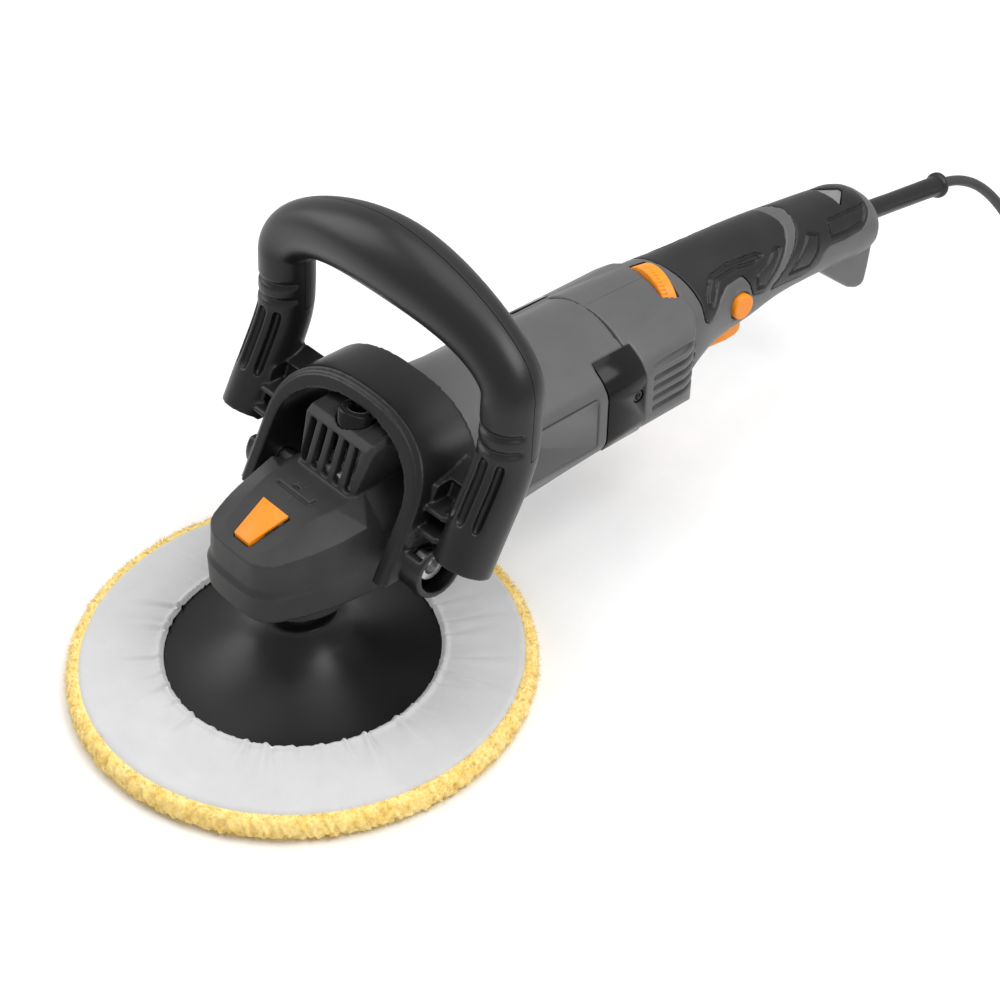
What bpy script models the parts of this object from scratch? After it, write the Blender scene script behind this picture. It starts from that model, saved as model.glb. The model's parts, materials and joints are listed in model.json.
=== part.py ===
"""Rotary polisher with a 180 mm backing pad, a wool bonnet and a D-handle.

Frame: the spindle axis is Z, z = 0 is the working face of the wool, +Y points to the rear handle and the
cord, +X is the side of the lock-on button. Lengths below are in millimetres and become metres in place().
"""

import math

import bmesh
import bpy
from mathutils import Matrix, Vector

MM = 0.001
GAP = 0.3

# Turns that lay a piece's own Z axis along the frame's Y or X
AXIS_Y = (math.radians(-90), 0, 0)
AXIS_X = (0, math.radians(90), 0)
STEPS = 28

# Pad and bonnet
WOOL_R = 105.0
BONNET_R = 97.8
PAD_R = 90.0
HEM_R = 60.8
PAD_TOP = 35.2
SPINDLE_R = 7.0

# Gear head, and half plans (x, y) of its case
HEAD_BOTTOM = 56.0
HEAD_TOP = 97.3
BODY_Z = 80.8
LOCK_Y = -23.2
CROWN_R = 26.0
PINION_R = 9.4
CASE_PLAN = ((0, -29.6), (14.6, -27.8), (21.6, -21.6), (28.6, -4.0), (30.6, 14.0), (30.6, 48.4))
CROWN_PLAN = ((0, -19.0), (12.0, -18.0), (19.0, -12.0), (25.0, 4.0), (26.4, 16.0), (26.4, 48.4))

# Motor, and the side pods in plan (x, y) and in section (x, z)
MOTOR_R = 36.4
MOTOR_FRONT = 52.0
MOTOR_REAR = 166.6
POD_X = 38.2
ROTOR_R = 21.5
STATOR_R = 32.4
POD_PLAN = (
    (0, 82.0),
    (36.0, 82.0),
    (39.1, 86.2),
    (39.1, 190.0),
    (38.0, 197.0),
    (36.6, 201.6),
    (34.2, 205.8),
    (31.0, 209.2),
    (26.0, 212.0),
    (0, 212.0),
)
POD_SECTION = (
    (10.0, 112.5),
    (17.0, 112.2),
    (26.0, 108.4),
    (34.0, 102.6),
    (38.2, 96.6),
    (38.2, 71.0),
    (34.6, 64.6),
    (24.0, 57.0),
    (10.0, 57.0),
)

# Rear handle
HANDLE_END = 363.0
GRIP_SKIN = 2.2
SHELL_WALL = 2.6
UNDER_RUBBER = (216.0, 360.0)
DIAL_R = 20.0
DIAL_CENTRE = (1.6, 210.2, 98.4)
DIAL_ANGLE = math.radians(13.0)
DIAL_TURN = (math.radians(-90), 0, -DIAL_ANGLE)
BUTTON_CENTRE = (23.4, 247.6, 93.6)
TRIGGER_PIN = (0.0, 231.5, 80.0)
# Sections of the rear body: Y, half width, lowest and highest Z
REAR_SECTIONS = (
    (163.0, 36.3, 44.9, 117.1),
    (188.0, 34.6, 47.6, 116.4),
    (203.0, 32.6, 53.5, 115.9),
    (217.0, 30.7, 65.0, 115.5),
    (229.0, 27.8, 68.6, 115.6),
    (242.0, 25.3, 69.4, 116.2),
    (262.0, 23.4, 70.2, 116.0),
    (284.0, 21.4, 72.5, 114.9),
    (312.0, 20.2, 72.0, 111.8),
    (336.0, 19.6, 70.2, 108.8),
    (352.0, 19.2, 68.9, 106.0),
    (358.4, 18.0, 69.0, 103.0),
    (361.6, 16.4, 70.6, 99.6),
    (HANDLE_END, 14.0, 73.0, 96.6),
)
# Side outlines (y, z) of the fin and the two rubber skins, and the light's plan (x, y)
FIN = (
    (318.0, 84.0),
    (318.0, 77.0),
    (325.0, 72.5),
    (333.0, 66.0),
    (342.0, 58.6),
    (350.0, 52.4),
    (355.5, 49.8),
    (359.6, 49.6),
    (362.4, 52.0),
    (363.8, 62.0),
    (364.6, 76.0),
    (363.4, 84.0),
)
FRONT_GRIP = (
    (219.4, 125.0),
    (219.4, 106.0),
    (218.0, 99.8),
    (220.4, 97.2),
    (225.0, 97.4),
    (229.6, 99.8),
    (232.6, 102.8),
    (239.6, 106.2),
    (251.8, 106.2),
    (255.2, 101.6),
    (257.4, 94.0),
    (267.2, 91.6),
    (277.8, 98.6),
    (286.8, 107.0),
    (293.0, 112.4),
    (296.4, 125.0),
)
REAR_GRIP = (
    (270.6, 90.4),
    (283.0, 97.6),
    (294.2, 106.4),
    (300.2, 111.2),
    (305.4, 114.0),
    (305.4, 125.0),
    (356.0, 125.0),
    (354.4, 104.0),
    (352.6, 98.6),
    (344.8, 93.4),
    (331.8, 93.2),
    (319.0, 94.8),
    (313.8, 92.4),
    (309.4, 87.6),
    (298.0, 86.0),
)
LED_PLAN = ((-9.6, 335.6), (9.6, 335.6), (1.4, 346.8), (-1.4, 346.8))
LED_HOLE = tuple((x * 1.06, y) for x, y in LED_PLAN)

# D-handle, and the side outline (y, z) behind which its back is a separate moulding
LOOP_X = 71.5
LOOP_R = 12.5
LOOP_TOP_R = 16.4
LEAN = math.radians(29.0)
COLLAR_OUTER = 49.4
COLLAR_INNER = 41.8
BOLT_CENTRE = (27.0, 79.5)
SEAM = ((55.4, 134.6), (56.6, 159.6), (58.8, 176.0), (60.2, 240.0), (120.0, 240.0), (120.0, 134.6))

# Cord
CORD_R = 2.8
RELIEF_AT = (0.0, 363.0, 85.3)
COIL_CENTRE = (78.0, 545.0)
COIL_MID_R = 32.25
COIL_HALF_WIDTH = 8.6
COIL_HALF_HEIGHT = 11.3
PLUG_AT = (168.0, 530.0, 19.0)
CORD_ROUTE = (
    (0.0, 434.8, 75.9),
    (0.0, 448.0, 73.6),
    (3.0, 466.0, 66.0),
    (9.0, 482.0, 50.0),
    (16.0, 495.0, 29.5),
    (23.0, 507.0, 12.6),
    (29.6, 519.0, 4.8),
    (35.2, 530.0, 2.9),
)
TAIL_ROUTE = (
    (68.9, 569.9, 25.9),
    (85.0, 575.8, 25.9),
    (101.0, 581.8, 24.0),
    (118.0, 590.0, 16.5),
    (134.0, 596.6, 12.0),
    (150.0, 597.4, 13.0),
    (162.0, 591.0, 17.0),
    (167.6, 580.0, 19.0),
    (168.0, 574.4, 19.0),
)

parts = bpy.data.collections.new("rotary_polisher")
cutters = bpy.data.collections.new("cutters")


def material(name, colour, roughness, metallic=0.0):
    mat = bpy.data.materials.new(name)
    mat.use_nodes = True
    shader = mat.node_tree.nodes["Principled BSDF"]
    shader.inputs["Base Color"].default_value = (*colour, 1.0)
    shader.inputs["Roughness"].default_value = roughness
    shader.inputs["Metallic"].default_value = metallic
    mat.diffuse_color = (*colour, 1.0)
    return mat


def place(name, mesh, mat=None, at=(0, 0, 0), turn=None, parent=None):
    """Link an object whose mesh is in millimetres about its own origin, with its origin at a point."""
    mesh.transform(Matrix.Scale(MM, 4))
    obj = bpy.data.objects.new(name, mesh)
    obj.location = Vector(at) * MM
    if turn is not None:
        obj.rotation_euler = turn
    if mat is None:
        cutters.objects.link(obj)
        obj.hide_render = True
        obj.display_type = "WIRE"
    else:
        parts.objects.link(obj)
        mesh.materials.append(mat)
    if parent is not None:
        obj.parent = parent
        obj.matrix_parent_inverse = Matrix.Translation(-Vector(parent.location))
    mesh.shade_smooth()
    mesh.set_sharp_from_angle(angle=math.radians(35))
    return obj


def turned(name, profile, mat=None, at=(0, 0, 0), turn=None, ring=False, steps=STEPS, parent=None):
    """A turned piece. The profile is (radius, height) pairs that run down the outer side."""
    mesh = bpy.data.meshes.new(name)
    points = [(r, 0, h) for r, h in profile]
    edges = [(i, i + 1) for i in range(len(points) - 1)]
    if ring:
        edges.append((len(points) - 1, 0))
    mesh.from_pydata(points, edges, [])
    obj = place(name, mesh, mat, at, turn, parent)
    screw = obj.modifiers.new("turn", "SCREW")
    screw.steps = steps
    screw.render_steps = steps
    screw.use_merge_vertices = True
    screw.merge_threshold = 0.00001
    screw.use_smooth_shade = True
    return obj


def rod(name, radius, length, mat=None, at=(0, 0, 0), turn=None, steps=STEPS, parent=None, edge=0.0):
    """A round rod from its origin along its own axis, with a small chamfer."""
    if edge:
        inner = radius - edge
        profile = [(0, length), (inner, length), (radius, length - edge), (radius, edge), (inner, 0), (0, 0)]
    else:
        profile = [(0, length), (radius, length), (radius, 0), (0, 0)]
    return turned(name, profile, mat, at, turn, False, steps, parent)


def washer(name, outer, inner, length, mat, at=(0, 0, 0), turn=None, steps=STEPS, parent=None, edge=0.5):
    """A plain ring from its origin along its own axis, with chamfered outer edges."""
    profile = [
        (inner, length),
        (outer - edge, length),
        (outer, length - edge),
        (outer, edge),
        (outer - edge, 0),
        (inner, 0),
    ]
    return turned(name, profile, mat, at, turn, True, steps, parent)


def block(name, low, high, mat=None, bevel=0.0, segments=2, parent=None, at=None):
    """A box between two corners, with rounded edges. Its origin is at the given point or its centre."""
    corners = [sorted(pair) for pair in zip(low, high)]
    centre = Vector([(a + b) / 2 for a, b in corners])
    size = Vector([b - a for a, b in corners])
    origin = Vector(at) if at is not None else centre
    mesh = bpy.data.meshes.new(name)
    bm = bmesh.new()
    bmesh.ops.create_cube(bm, size=1.0)
    bmesh.ops.scale(bm, vec=size, verts=bm.verts)
    bmesh.ops.translate(bm, vec=centre - origin, verts=bm.verts)
    bm.to_mesh(mesh)
    bm.free()
    obj = place(name, mesh, mat, origin, None, parent)
    if bevel:
        add_bevel(obj, bevel, segments)
    return obj


def add_bevel(obj, width, segments=2, angle=30):
    bevel = obj.modifiers.new("edges", "BEVEL")
    bevel.width = width * MM
    bevel.segments = segments
    bevel.limit_method = "ANGLE"
    bevel.angle_limit = math.radians(angle)
    return bevel


def slab(name, outline, thickness, mat=None, plane="YZ", centre=0.0, parent=None):
    """A flat outline given in one plane and extruded both ways from its centre along the third axis."""
    frames = {
        "YZ": Matrix(((0, 0, 1, 0), (1, 0, 0, 0), (0, 1, 0, 0), (0, 0, 0, 1))),
        "XY": Matrix.Identity(4),
        "XZ": Matrix(((1, 0, 0, 0), (0, 0, -1, 0), (0, 1, 0, 0), (0, 0, 0, 1))),
    }
    curve = bpy.data.curves.new(name, "CURVE")
    curve.dimensions = "2D"
    curve.fill_mode = "BOTH"
    curve.extrude = thickness / 2
    spline = curve.splines.new("POLY")
    spline.points.add(len(outline) - 1)
    spline.use_cyclic_u = True
    for point, (u, v) in zip(spline.points, outline):
        point.co = (u, v, 0, 1)
    mesh = curve_mesh(name, curve)
    shift = {"YZ": (centre, 0, 0), "XY": (0, 0, centre), "XZ": (0, centre, 0)}[plane]
    mesh.transform(Matrix.Translation(shift) @ frames[plane])
    return place(name, mesh, mat, (0, 0, 0), None, parent)


def curve_mesh(name, curve):
    """The closed mesh of a curve, with its caps welded on."""
    helper = bpy.data.objects.new(name + "_curve", curve)
    bpy.context.scene.collection.objects.link(helper)
    graph = bpy.context.evaluated_depsgraph_get()
    mesh = bpy.data.meshes.new_from_object(helper.evaluated_get(graph))
    bpy.data.objects.remove(helper)
    bm = bmesh.new()
    bm.from_mesh(mesh)
    bmesh.ops.remove_doubles(bm, verts=bm.verts, dist=0.01)
    bmesh.ops.recalc_face_normals(bm, faces=bm.faces)
    bm.to_mesh(mesh)
    bm.free()
    return mesh


def tube(name, points, radius, mat=None, radii=None, resolution=3, parent=None):
    """A round bar along points; radii gives each point's share of the radius."""
    curve = bpy.data.curves.new(name, "CURVE")
    curve.dimensions = "3D"
    curve.bevel_depth = radius
    curve.bevel_resolution = resolution
    curve.use_fill_caps = True
    curve.resolution_u = 1
    spline = curve.splines.new("POLY")
    spline.points.add(len(points) - 1)
    for index, point in enumerate(points):
        spline.points[index].co = (*point, 1)
        if radii is not None:
            spline.points[index].radius = radii[index]
    return place(name, curve_mesh(name, curve), mat, (0, 0, 0), None, parent)


def loft(name, rings, mat=None, at=(0, 0, 0), parent=None):
    """A closed skin through rings of the same number of points, with flat ends."""
    mesh = bpy.data.meshes.new(name)
    bm = bmesh.new()
    rows = [[bm.verts.new(Vector(p) - Vector(at)) for p in ring] for ring in rings]
    count = len(rows[0])
    for row, after in zip(rows, rows[1:]):
        for i in range(count):
            j = (i + 1) % count
            bm.faces.new((row[i], row[j], after[j], after[i]))
    bm.faces.new(rows[0])
    bm.faces.new(rows[-1])
    bmesh.ops.recalc_face_normals(bm, faces=bm.faces)
    bm.to_mesh(mesh)
    bm.free()
    return place(name, mesh, mat, at, None, parent)


def boolean(obj, other, operation="DIFFERENCE"):
    modifier = obj.modifiers.new(operation.lower(), "BOOLEAN")
    modifier.operation = operation
    modifier.object = other
    modifier.solver = "EXACT"
    return modifier


def empty(name, at):
    obj = bpy.data.objects.new(name, None)
    obj.location = Vector(at) * MM
    obj.empty_display_size = 0.02
    parts.objects.link(obj)
    return obj


def superellipse(y, half, low, high, power=2.2, count=20):
    """One body section: a rounded ring across X and Z at one Y."""
    ring = []
    centre = (low + high) / 2
    height = (high - low) / 2
    for i in range(count):
        angle = 2 * math.pi * i / count
        c = math.cos(angle)
        s = math.sin(angle)
        x = half * math.copysign(abs(c) ** (2 / power), c)
        z = centre + height * math.copysign(abs(s) ** (2 / power), s)
        ring.append((x, y, z))
    return ring


def body_skin(name, inset, mat=None, first=0, last=None, ahead=0.0, under_grip=0.0):
    """The rear body's skin, drawn in by an inset all round, and more where rubber covers it."""
    rings = []
    for y, half, low, high in REAR_SECTIONS[first:last]:
        more = under_grip if UNDER_RUBBER[0] < y < UNDER_RUBBER[1] else 0.0
        d = inset + more
        rings.append(superellipse(y, half - d, low + d, high - d))
    if ahead:
        x, y, z = zip(*rings[0])
        rings.insert(0, [(a, b - ahead, c) for a, b, c in zip(x, y, z)])
    return loft(name, rings, mat)


def make_pad(mats, axis):
    """The spindle's driven parts and the bonnet on its backing pad."""
    spindle = [
        (0, 88.4),
        (5.0, 88.4),
        (5.0, 74.0),
        (7.4, 74.0),
        (7.4, 46.0),
        (8.8, 46.0),
        (8.8, 42.6),
        (12.2, 42.6),
        (12.2, 38.4),
        (SPINDLE_R, 38.4),
        (SPINDLE_R, 22.0),
        (0, 22.0),
    ]
    turned("spindle", spindle, mats["steel"], parent=axis)
    crown = [
        (7.7, 70.4),
        (14.0, 70.4),
        (16.0, 69.0),
        (CROWN_R - 2, 67.0),
        (CROWN_R, 64.6),
        (CROWN_R - 3, 61.4),
        (12.0, 59.6),
        (7.7, 59.6),
    ]
    turned("crown_gear", crown, mats["gear_steel"], ring=True, steps=28, parent=axis)
    insert = [
        (SPINDLE_R + GAP, 37.9),
        (10.6, 37.9),
        (10.6, 30.0),
        (13.0, 27.0),
        (24.0, 15.4),
        (24.0, 14.0),
        (SPINDLE_R + GAP, 14.0),
    ]
    turned("pad_insert", insert, mats["zinc"], ring=True, parent=axis)
    cone = [
        (10.9, PAD_TOP),
        (15.6, PAD_TOP),
        (16.6, 33.6),
        (19.6, 28.4),
        (24.4, 23.8),
        (32.5, 19.0),
        (44.0, 14.6),
        (58.0, 11.4),
        (PAD_R, 10.2),
        (PAD_R, 8.6),
        (2.0, 8.6),
        (2.0, 13.7),
        (24.3, 13.7),
        (24.3, 15.6),
        (13.3, 27.2),
        (10.9, 30.0),
    ]
    turned("backing_pad", cone, mats["pad_rubber"], ring=True, steps=40, parent=axis)
    foam = [(0, 8.3), (PAD_R - 1.5, 8.3), (PAD_R - 1.5, 5.9), (0, 5.9)]
    turned("foam_disc", foam, mats["foam"], steps=32, parent=axis)
    skirt = [
        (HEM_R, 13.2),
        (HEM_R + 1.0, 12.2),
        (HEM_R + 3.4, 12.2),
        (HEM_R + 4.2, 13.4),
        (HEM_R + 4.8, 12.1),
        (94.0, 11.6),
        (BONNET_R, 10.2),
        (BONNET_R, 5.9),
        (BONNET_R - 0.9, 5.9),
        (BONNET_R - 0.9, 9.7),
        (93.4, 10.7),
        (HEM_R, 11.4),
    ]
    turned("bonnet_skirt", skirt, mats["skirt"], ring=True, steps=40, parent=axis)
    cord = [(HEM_R + 2.2 + 0.8 * math.cos(a), 13.3 - 0.8 * math.sin(a)) for a in (0, 1.26, 2.51, 3.77, 5.03)]
    turned("hem_drawstring", cord, mats["skirt"], ring=True, steps=40, parent=axis)
    wool = [
        (0, 5.6),
        (BONNET_R + GAP, 5.6),
        (BONNET_R + GAP, 10.5),
        (100.2, 11.2),
        (103.0, 9.9),
        (104.6, 7.6),
        (WOOL_R, 5.0),
        (104.0, 2.2),
        (101.4, 0.5),
        (98.4, 0),
        (0, 0),
    ]
    turned("wool_pile", wool, mats["wool"], steps=44, parent=axis)


def drawn_in(outline, distance):
    """A closed outline moved inwards by a distance."""
    area = sum(a[0] * b[1] - b[0] * a[1] for a, b in zip(outline, outline[1:] + outline[:1]))
    side = math.copysign(distance, area)
    moved = []
    for before, point, after in zip(outline[-1:] + outline[:-1], outline, outline[1:] + outline[:1]):
        first = Vector((point[0] - before[0], point[1] - before[1])).normalized()
        second = Vector((after[0] - point[0], after[1] - point[1])).normalized()
        normal = Vector((-first.y - second.y, first.x + second.x)).normalized()
        reach = side / max(normal.dot(Vector((-first.y, first.x))), 0.4)
        moved.append((point[0] + normal.x * reach, point[1] + normal.y * reach))
    return moved


def mirrored(half):
    """The whole outline from its +X half."""
    half = list(half)
    return half + [(-x, y) for x, y in reversed(half) if x > 0]


def make_gear_head(mats):
    """The gear case, its bearings and plate, and the moulded cover over them."""
    case = slab("gear_case", mirrored(CASE_PLAN), 21.2, mats["aluminium"], "XY", 70.8)
    crown = slab("case_crown", mirrored(CROWN_PLAN), 12.0, None, "XY", 80.6)
    boolean(case, crown, "UNION")
    pin_bore = rod("case_pin_bore", 2.6, 20.0, at=(0, LOCK_Y, 74.0), steps=12)
    boolean(case, pin_bore)
    tower = rod("case_tower", 12.4, 14.4, at=(0, 0, 75.6), steps=24)
    boolean(case, tower, "UNION")
    boss = rod("case_pinion_boss", 12.6, 14.0, at=(0, 8.9, BODY_Z), turn=AXIS_Y, steps=24)
    boolean(case, boss, "UNION")
    nose = rod("case_neck", 21.0, 29.6, at=(0, 19.4, BODY_Z), turn=AXIS_Y, steps=24)
    boolean(case, nose, "UNION")
    hollow = rod("case_hollow", 28.2, 32.4, at=(0, 0.0, 48.0))
    boolean(case, hollow)
    bearing_seat = rod("case_top_seat", 9.9, 10.2, at=(0, 0, 78.6), steps=22)
    boolean(case, bearing_seat)
    nose_bore = rod("case_nose_bore", 10.4, 14.0, at=(0, 9.4, BODY_Z), turn=AXIS_Y, steps=24)
    boolean(case, nose_bore)
    bearing_bore = rod("case_bearing_bore", 13.4, 40.0, at=(0, 21.6, BODY_Z), turn=AXIS_Y, steps=24)
    boolean(case, bearing_bore)

    plate = [
        (17.9, 60.2),
        (27.9, 60.2),
        (27.9, 57.0),
        (24.4, 56.6),
        (24.4, 48.4),
        (20.8, 45.2),
        (9.4, 45.2),
        (9.4, 47.6),
        (17.9, 47.6),
    ]
    turned("bearing_plate", plate, mats["aluminium"], ring=True)
    washer("lower_bearing", 17.6, 7.7, 10.8, mats["steel"], (0, 0, 47.9))
    washer("upper_bearing", 9.6, 5.3, 6.6, mats["steel"], (0, 0, 80.6), steps=24)

    make_head_cover(mats)

    socket = [(4.3, 124.6), (7.6, 124.6), (8.3, 123.9), (8.3, 112.6), (4.3, 112.6)]
    local = [(r, h - 121.0) for r, h in socket]
    tilt = (math.radians(-12), 0, 0)
    turned("handle_socket", local, mats["black_gloss"], (0, 35.6, 121.0), tilt, ring=True)


def head_section(half, nose, y_rear, z, corner):
    """One level of the head's plan: a blunt nose widening towards the rear."""
    right = [
        (0.0, nose),
        (half * 0.30, nose + 0.5),
        (half * 0.52, nose + 2.4),
        (half * 0.66, nose + corner),
        (half * 0.80, nose + corner + 9.0),
        (half * 0.93, nose + corner + 24.0),
        (half, nose + corner + 42.0),
        (half, y_rear),
    ]
    left = [(-x, y) for x, y in reversed(right[1:])]
    return [(x, y, z) for x, y in right + left]


def make_head_cover(mats):
    """The moulded cover: a faceted nose with a sloping top and a vent block at the rear."""
    rear = 49.0
    levels = [
        head_section(31.6, -32.6, rear, HEAD_BOTTOM, 6.0),
        head_section(34.6, -35.4, rear, HEAD_BOTTOM + 2.6, 6.4),
        head_section(35.4, -35.2, rear, 72.0, 6.4),
        head_section(34.4, -34.0, rear, 80.0, 6.4),
        head_section(33.2, -32.6, rear, 86.4, 6.4),
        head_section(21.8, -27.4, rear, HEAD_TOP, 6.0),
    ]
    for level in levels[3:]:
        for i, (x, y, z) in enumerate(level):
            drop = max(0.0, -4.0 - y) / 24.0
            level[i] = (x, y, z - 6.6 * min(drop, 1.0) * (z - 76.0) / (HEAD_TOP - 76.0))
    cover = loft("head_cover", levels, mats["cover"])
    foot = HEAD_TOP - 4
    vent = [(13.6, foot), (15.8, HEAD_TOP), (24.2, 118.0), (27.6, 120.2), (56.0, 121.6), (60.0, foot)]
    block_part = slab("vent_block", vent, 48.0, plane="YZ")
    sides = [(-16.6, 90.0), (16.6, 90.0), (22.8, 122.0), (-22.8, 122.0)]
    taper = slab("vent_taper", sides, 90.0, None, "XZ", 40.0)
    boolean(block_part, taper, "INTERSECT")
    add_bevel(block_part, 2.4, 1, 60)
    boolean(cover, block_part, "UNION")
    rib = slab("cover_rear_trim", [(49.0, 50), (70, 50), (70, 140), (49.0, 140)], 120, plane="YZ")
    boolean(cover, rib)
    outline = mirrored([(x * 1.012, y * 1.016 - 0.1) for x, y in CASE_PLAN])
    lower = slab("cover_hollow", outline, 40.0, plane="XY", centre=61.7)
    boolean(cover, lower)
    outline = mirrored([(x * 1.02, y * 1.02) for x, y in CROWN_PLAN])
    upper = slab("cover_hollow_top", outline, 20.0, plane="XY", centre=77.0)
    boolean(cover, upper)
    tower = rod("cover_tower", 12.8, 19.0, at=(0, 0, 72.0), steps=24)
    boolean(cover, tower)
    boss = rod("cover_pinion_boss", 13.0, 20.0, at=(0, 8.4, BODY_Z), turn=AXIS_Y, steps=24)
    boolean(cover, boss)
    neck = rod("cover_neck", 21.4, 36.0, at=(0, 19.0, BODY_Z), turn=AXIS_Y, steps=24)
    boolean(cover, neck)
    duct = slab("cover_duct", [(18.6, 94), (27.0, 115.8), (60, 118.0), (60, 94)], 28.0, plane="YZ")
    boolean(cover, duct)
    for index in range(5):
        slot = block(f"vent_cut_{index}", (-2.0, -9, -9.6), (2.0, 12, 10.4))
        slot.location = Vector(((index - 2) * 7.2, 20.4, 107.6)) * MM
        slot.rotation_euler = (math.radians(-22), 0, 0)
        boolean(cover, slot)
    seat = rod("socket_cut", 8.7, 30.0, at=(0, 32.84, 108.0), turn=(math.radians(-12), 0, 0), steps=28)
    boolean(cover, seat)
    pocket = [(-9.0, -8.2), (9.0, -8.2), (5.4, -27.2), (-5.4, -27.2)]
    well = slab("button_well", pocket, 30.0, plane="XY", centre=98.2)
    boolean(cover, well)
    pin_hole = rod("cover_pin_hole", 2.6, 20.0, at=(0, LOCK_Y, 74.0), steps=12)
    boolean(cover, pin_hole)


def make_lock_button(mats, axis):
    """The spindle lock: an orange key on the head's top, its pin and its spring."""
    side = [(-8.6, 96.1), (-8.6, 94.6), (-19.6, 91.0), (-19.6, 86.9), (-26.8, 86.9), (-26.8, 89.6)]
    key = slab("lock_button", side, 30.0, mats["orange"], "YZ", 0.0, axis)
    top = [(-8.5, -8.0), (8.5, -8.0), (4.9, -27.0), (-4.9, -27.0)]
    outline = slab("button_outline", top, 40.0, None, "XY", 90.0)
    boolean(key, outline, "INTERSECT")
    rod("lock_pin", 2.2, 15.2, mats["steel"], (0, LOCK_Y, 71.4), steps=12, parent=axis)
    washer("lock_spring", 3.8, 2.5, 3.0, mats["steel"], (0, LOCK_Y, 83.6), steps=14, edge=0.2)


def make_motor(mats, axis):
    """The universal motor: rotor on its bearings, field, brushes and the housing round them."""
    shaft = [
        (0, 178.0),
        (4.0, 178.0),
        (4.0, 45.4),
        (5.0, 45.4),
        (5.0, 21.4),
        (4.6, 10.4),
        (0, 10.4),
    ]
    local = [(r, h - 30.0) for r, h in shaft]
    turned("rotor_shaft", local, mats["steel"], (0, 30, BODY_Z), AXIS_Y, steps=24, parent=axis)
    pinion = [(5.3, 21.2), (PINION_R, 21.2), (PINION_R, 17.6), (7.2, 11.0), (5.1, 11.0), (5.3, 14.0)]
    local = [(r, h - 15.0) for r, h in pinion]
    at = (0, 15, BODY_Z)
    turned("pinion", local, mats["gear_steel"], at, AXIS_Y, ring=True, steps=24, parent=axis)
    washer("front_motor_bearing", 13.0, 5.3, 9.0, mats["steel"], (0, 22.4, BODY_Z), AXIS_Y, 24)
    washer("rear_motor_bearing", 11.0, 4.3, 7.0, mats["steel"], (0, 168.5, BODY_Z), AXIS_Y, 24)
    fan = [(4.3, 12.0), (9.0, 12.0), (14.0, 6.0), (29.0, 5.6), (29.0, 0.0), (4.3, 0.0)]
    turned("fan", fan, mats["fan_plastic"], (0, 56.0, BODY_Z), AXIS_Y, ring=True, steps=24, parent=axis)
    washer("rotor_core", ROTOR_R, 4.3, 46.0, mats["laminations"], (0, 84.0, BODY_Z), AXIS_Y, 24, axis)
    windings = [(4.3, 9.6), (10.0, 9.6), (17.5, 3.0), (17.5, 0.0), (4.3, 0.0)]
    at = (0, 130.4, BODY_Z)
    turned("rotor_winding", windings, mats["copper"], at, AXIS_Y, ring=True, steps=24, parent=axis)
    washer("commutator", 13.0, 4.3, 18.0, mats["copper"], (0, 142.0, BODY_Z), AXIS_Y, 24, axis)
    washer("stator_core", STATOR_R, ROTOR_R + 0.8, 44.0, mats["laminations"], (0, 85.0, BODY_Z), AXIS_Y, 28)
    washer("field_coil", 30.0, 22.6, 8.4, mats["copper"], (0, 129.4, BODY_Z), AXIS_Y, 24)
    for side, sign in (("right", 1), ("left", -1)):
        low = (sign * 14.6, 146.4, BODY_Z - 6.0)
        high = (sign * 31.5, 155.6, BODY_Z + 6.0)
        holder = block(f"brush_holder_{side}", low, high, mats["brass"])
        low = (sign * 10.0, 147.4, BODY_Z - 4.6)
        high = (sign * 40.0, 154.6, BODY_Z + 4.6)
        bore = block(f"brush_bore_{side}", low, high)
        boolean(holder, bore)
        low = (sign * 13.4, 147.7, BODY_Z - 4.3)
        high = (sign * 27.0, 154.3, BODY_Z + 4.3)
        block(f"carbon_brush_{side}", low, high, mats["carbon"])


def pod(name, side):
    """One side pod: its cross-section along the motor, kept inside its plan outline."""
    piece = slab(name, [(side * x, z) for x, z in POD_SECTION], 150.0, None, "XZ", 145.0)
    plan = slab(name + "_plan", [(side * x, y) for x, y in POD_PLAN], 120.0, None, "XY", 85.0)
    boolean(piece, plan, "INTERSECT")
    return piece


def window_cutter(name, side):
    """The opening that a brush cover fills, 0.3 mm larger all round."""
    half = (
        (26.0, 120.0),
        (60.0, 120.0),
        (60.0, 50.0),
        (34.8, 64.2),
        (32.8, 66.5),
        (35.7, 71.6),
        (35.7, 96.2),
        (32.7, 100.4),
        (25.4, 108.0),
    )
    return slab(name, [(side * x, z) for x, z in half], 24.1, None, "XZ", 158.6)


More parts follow.
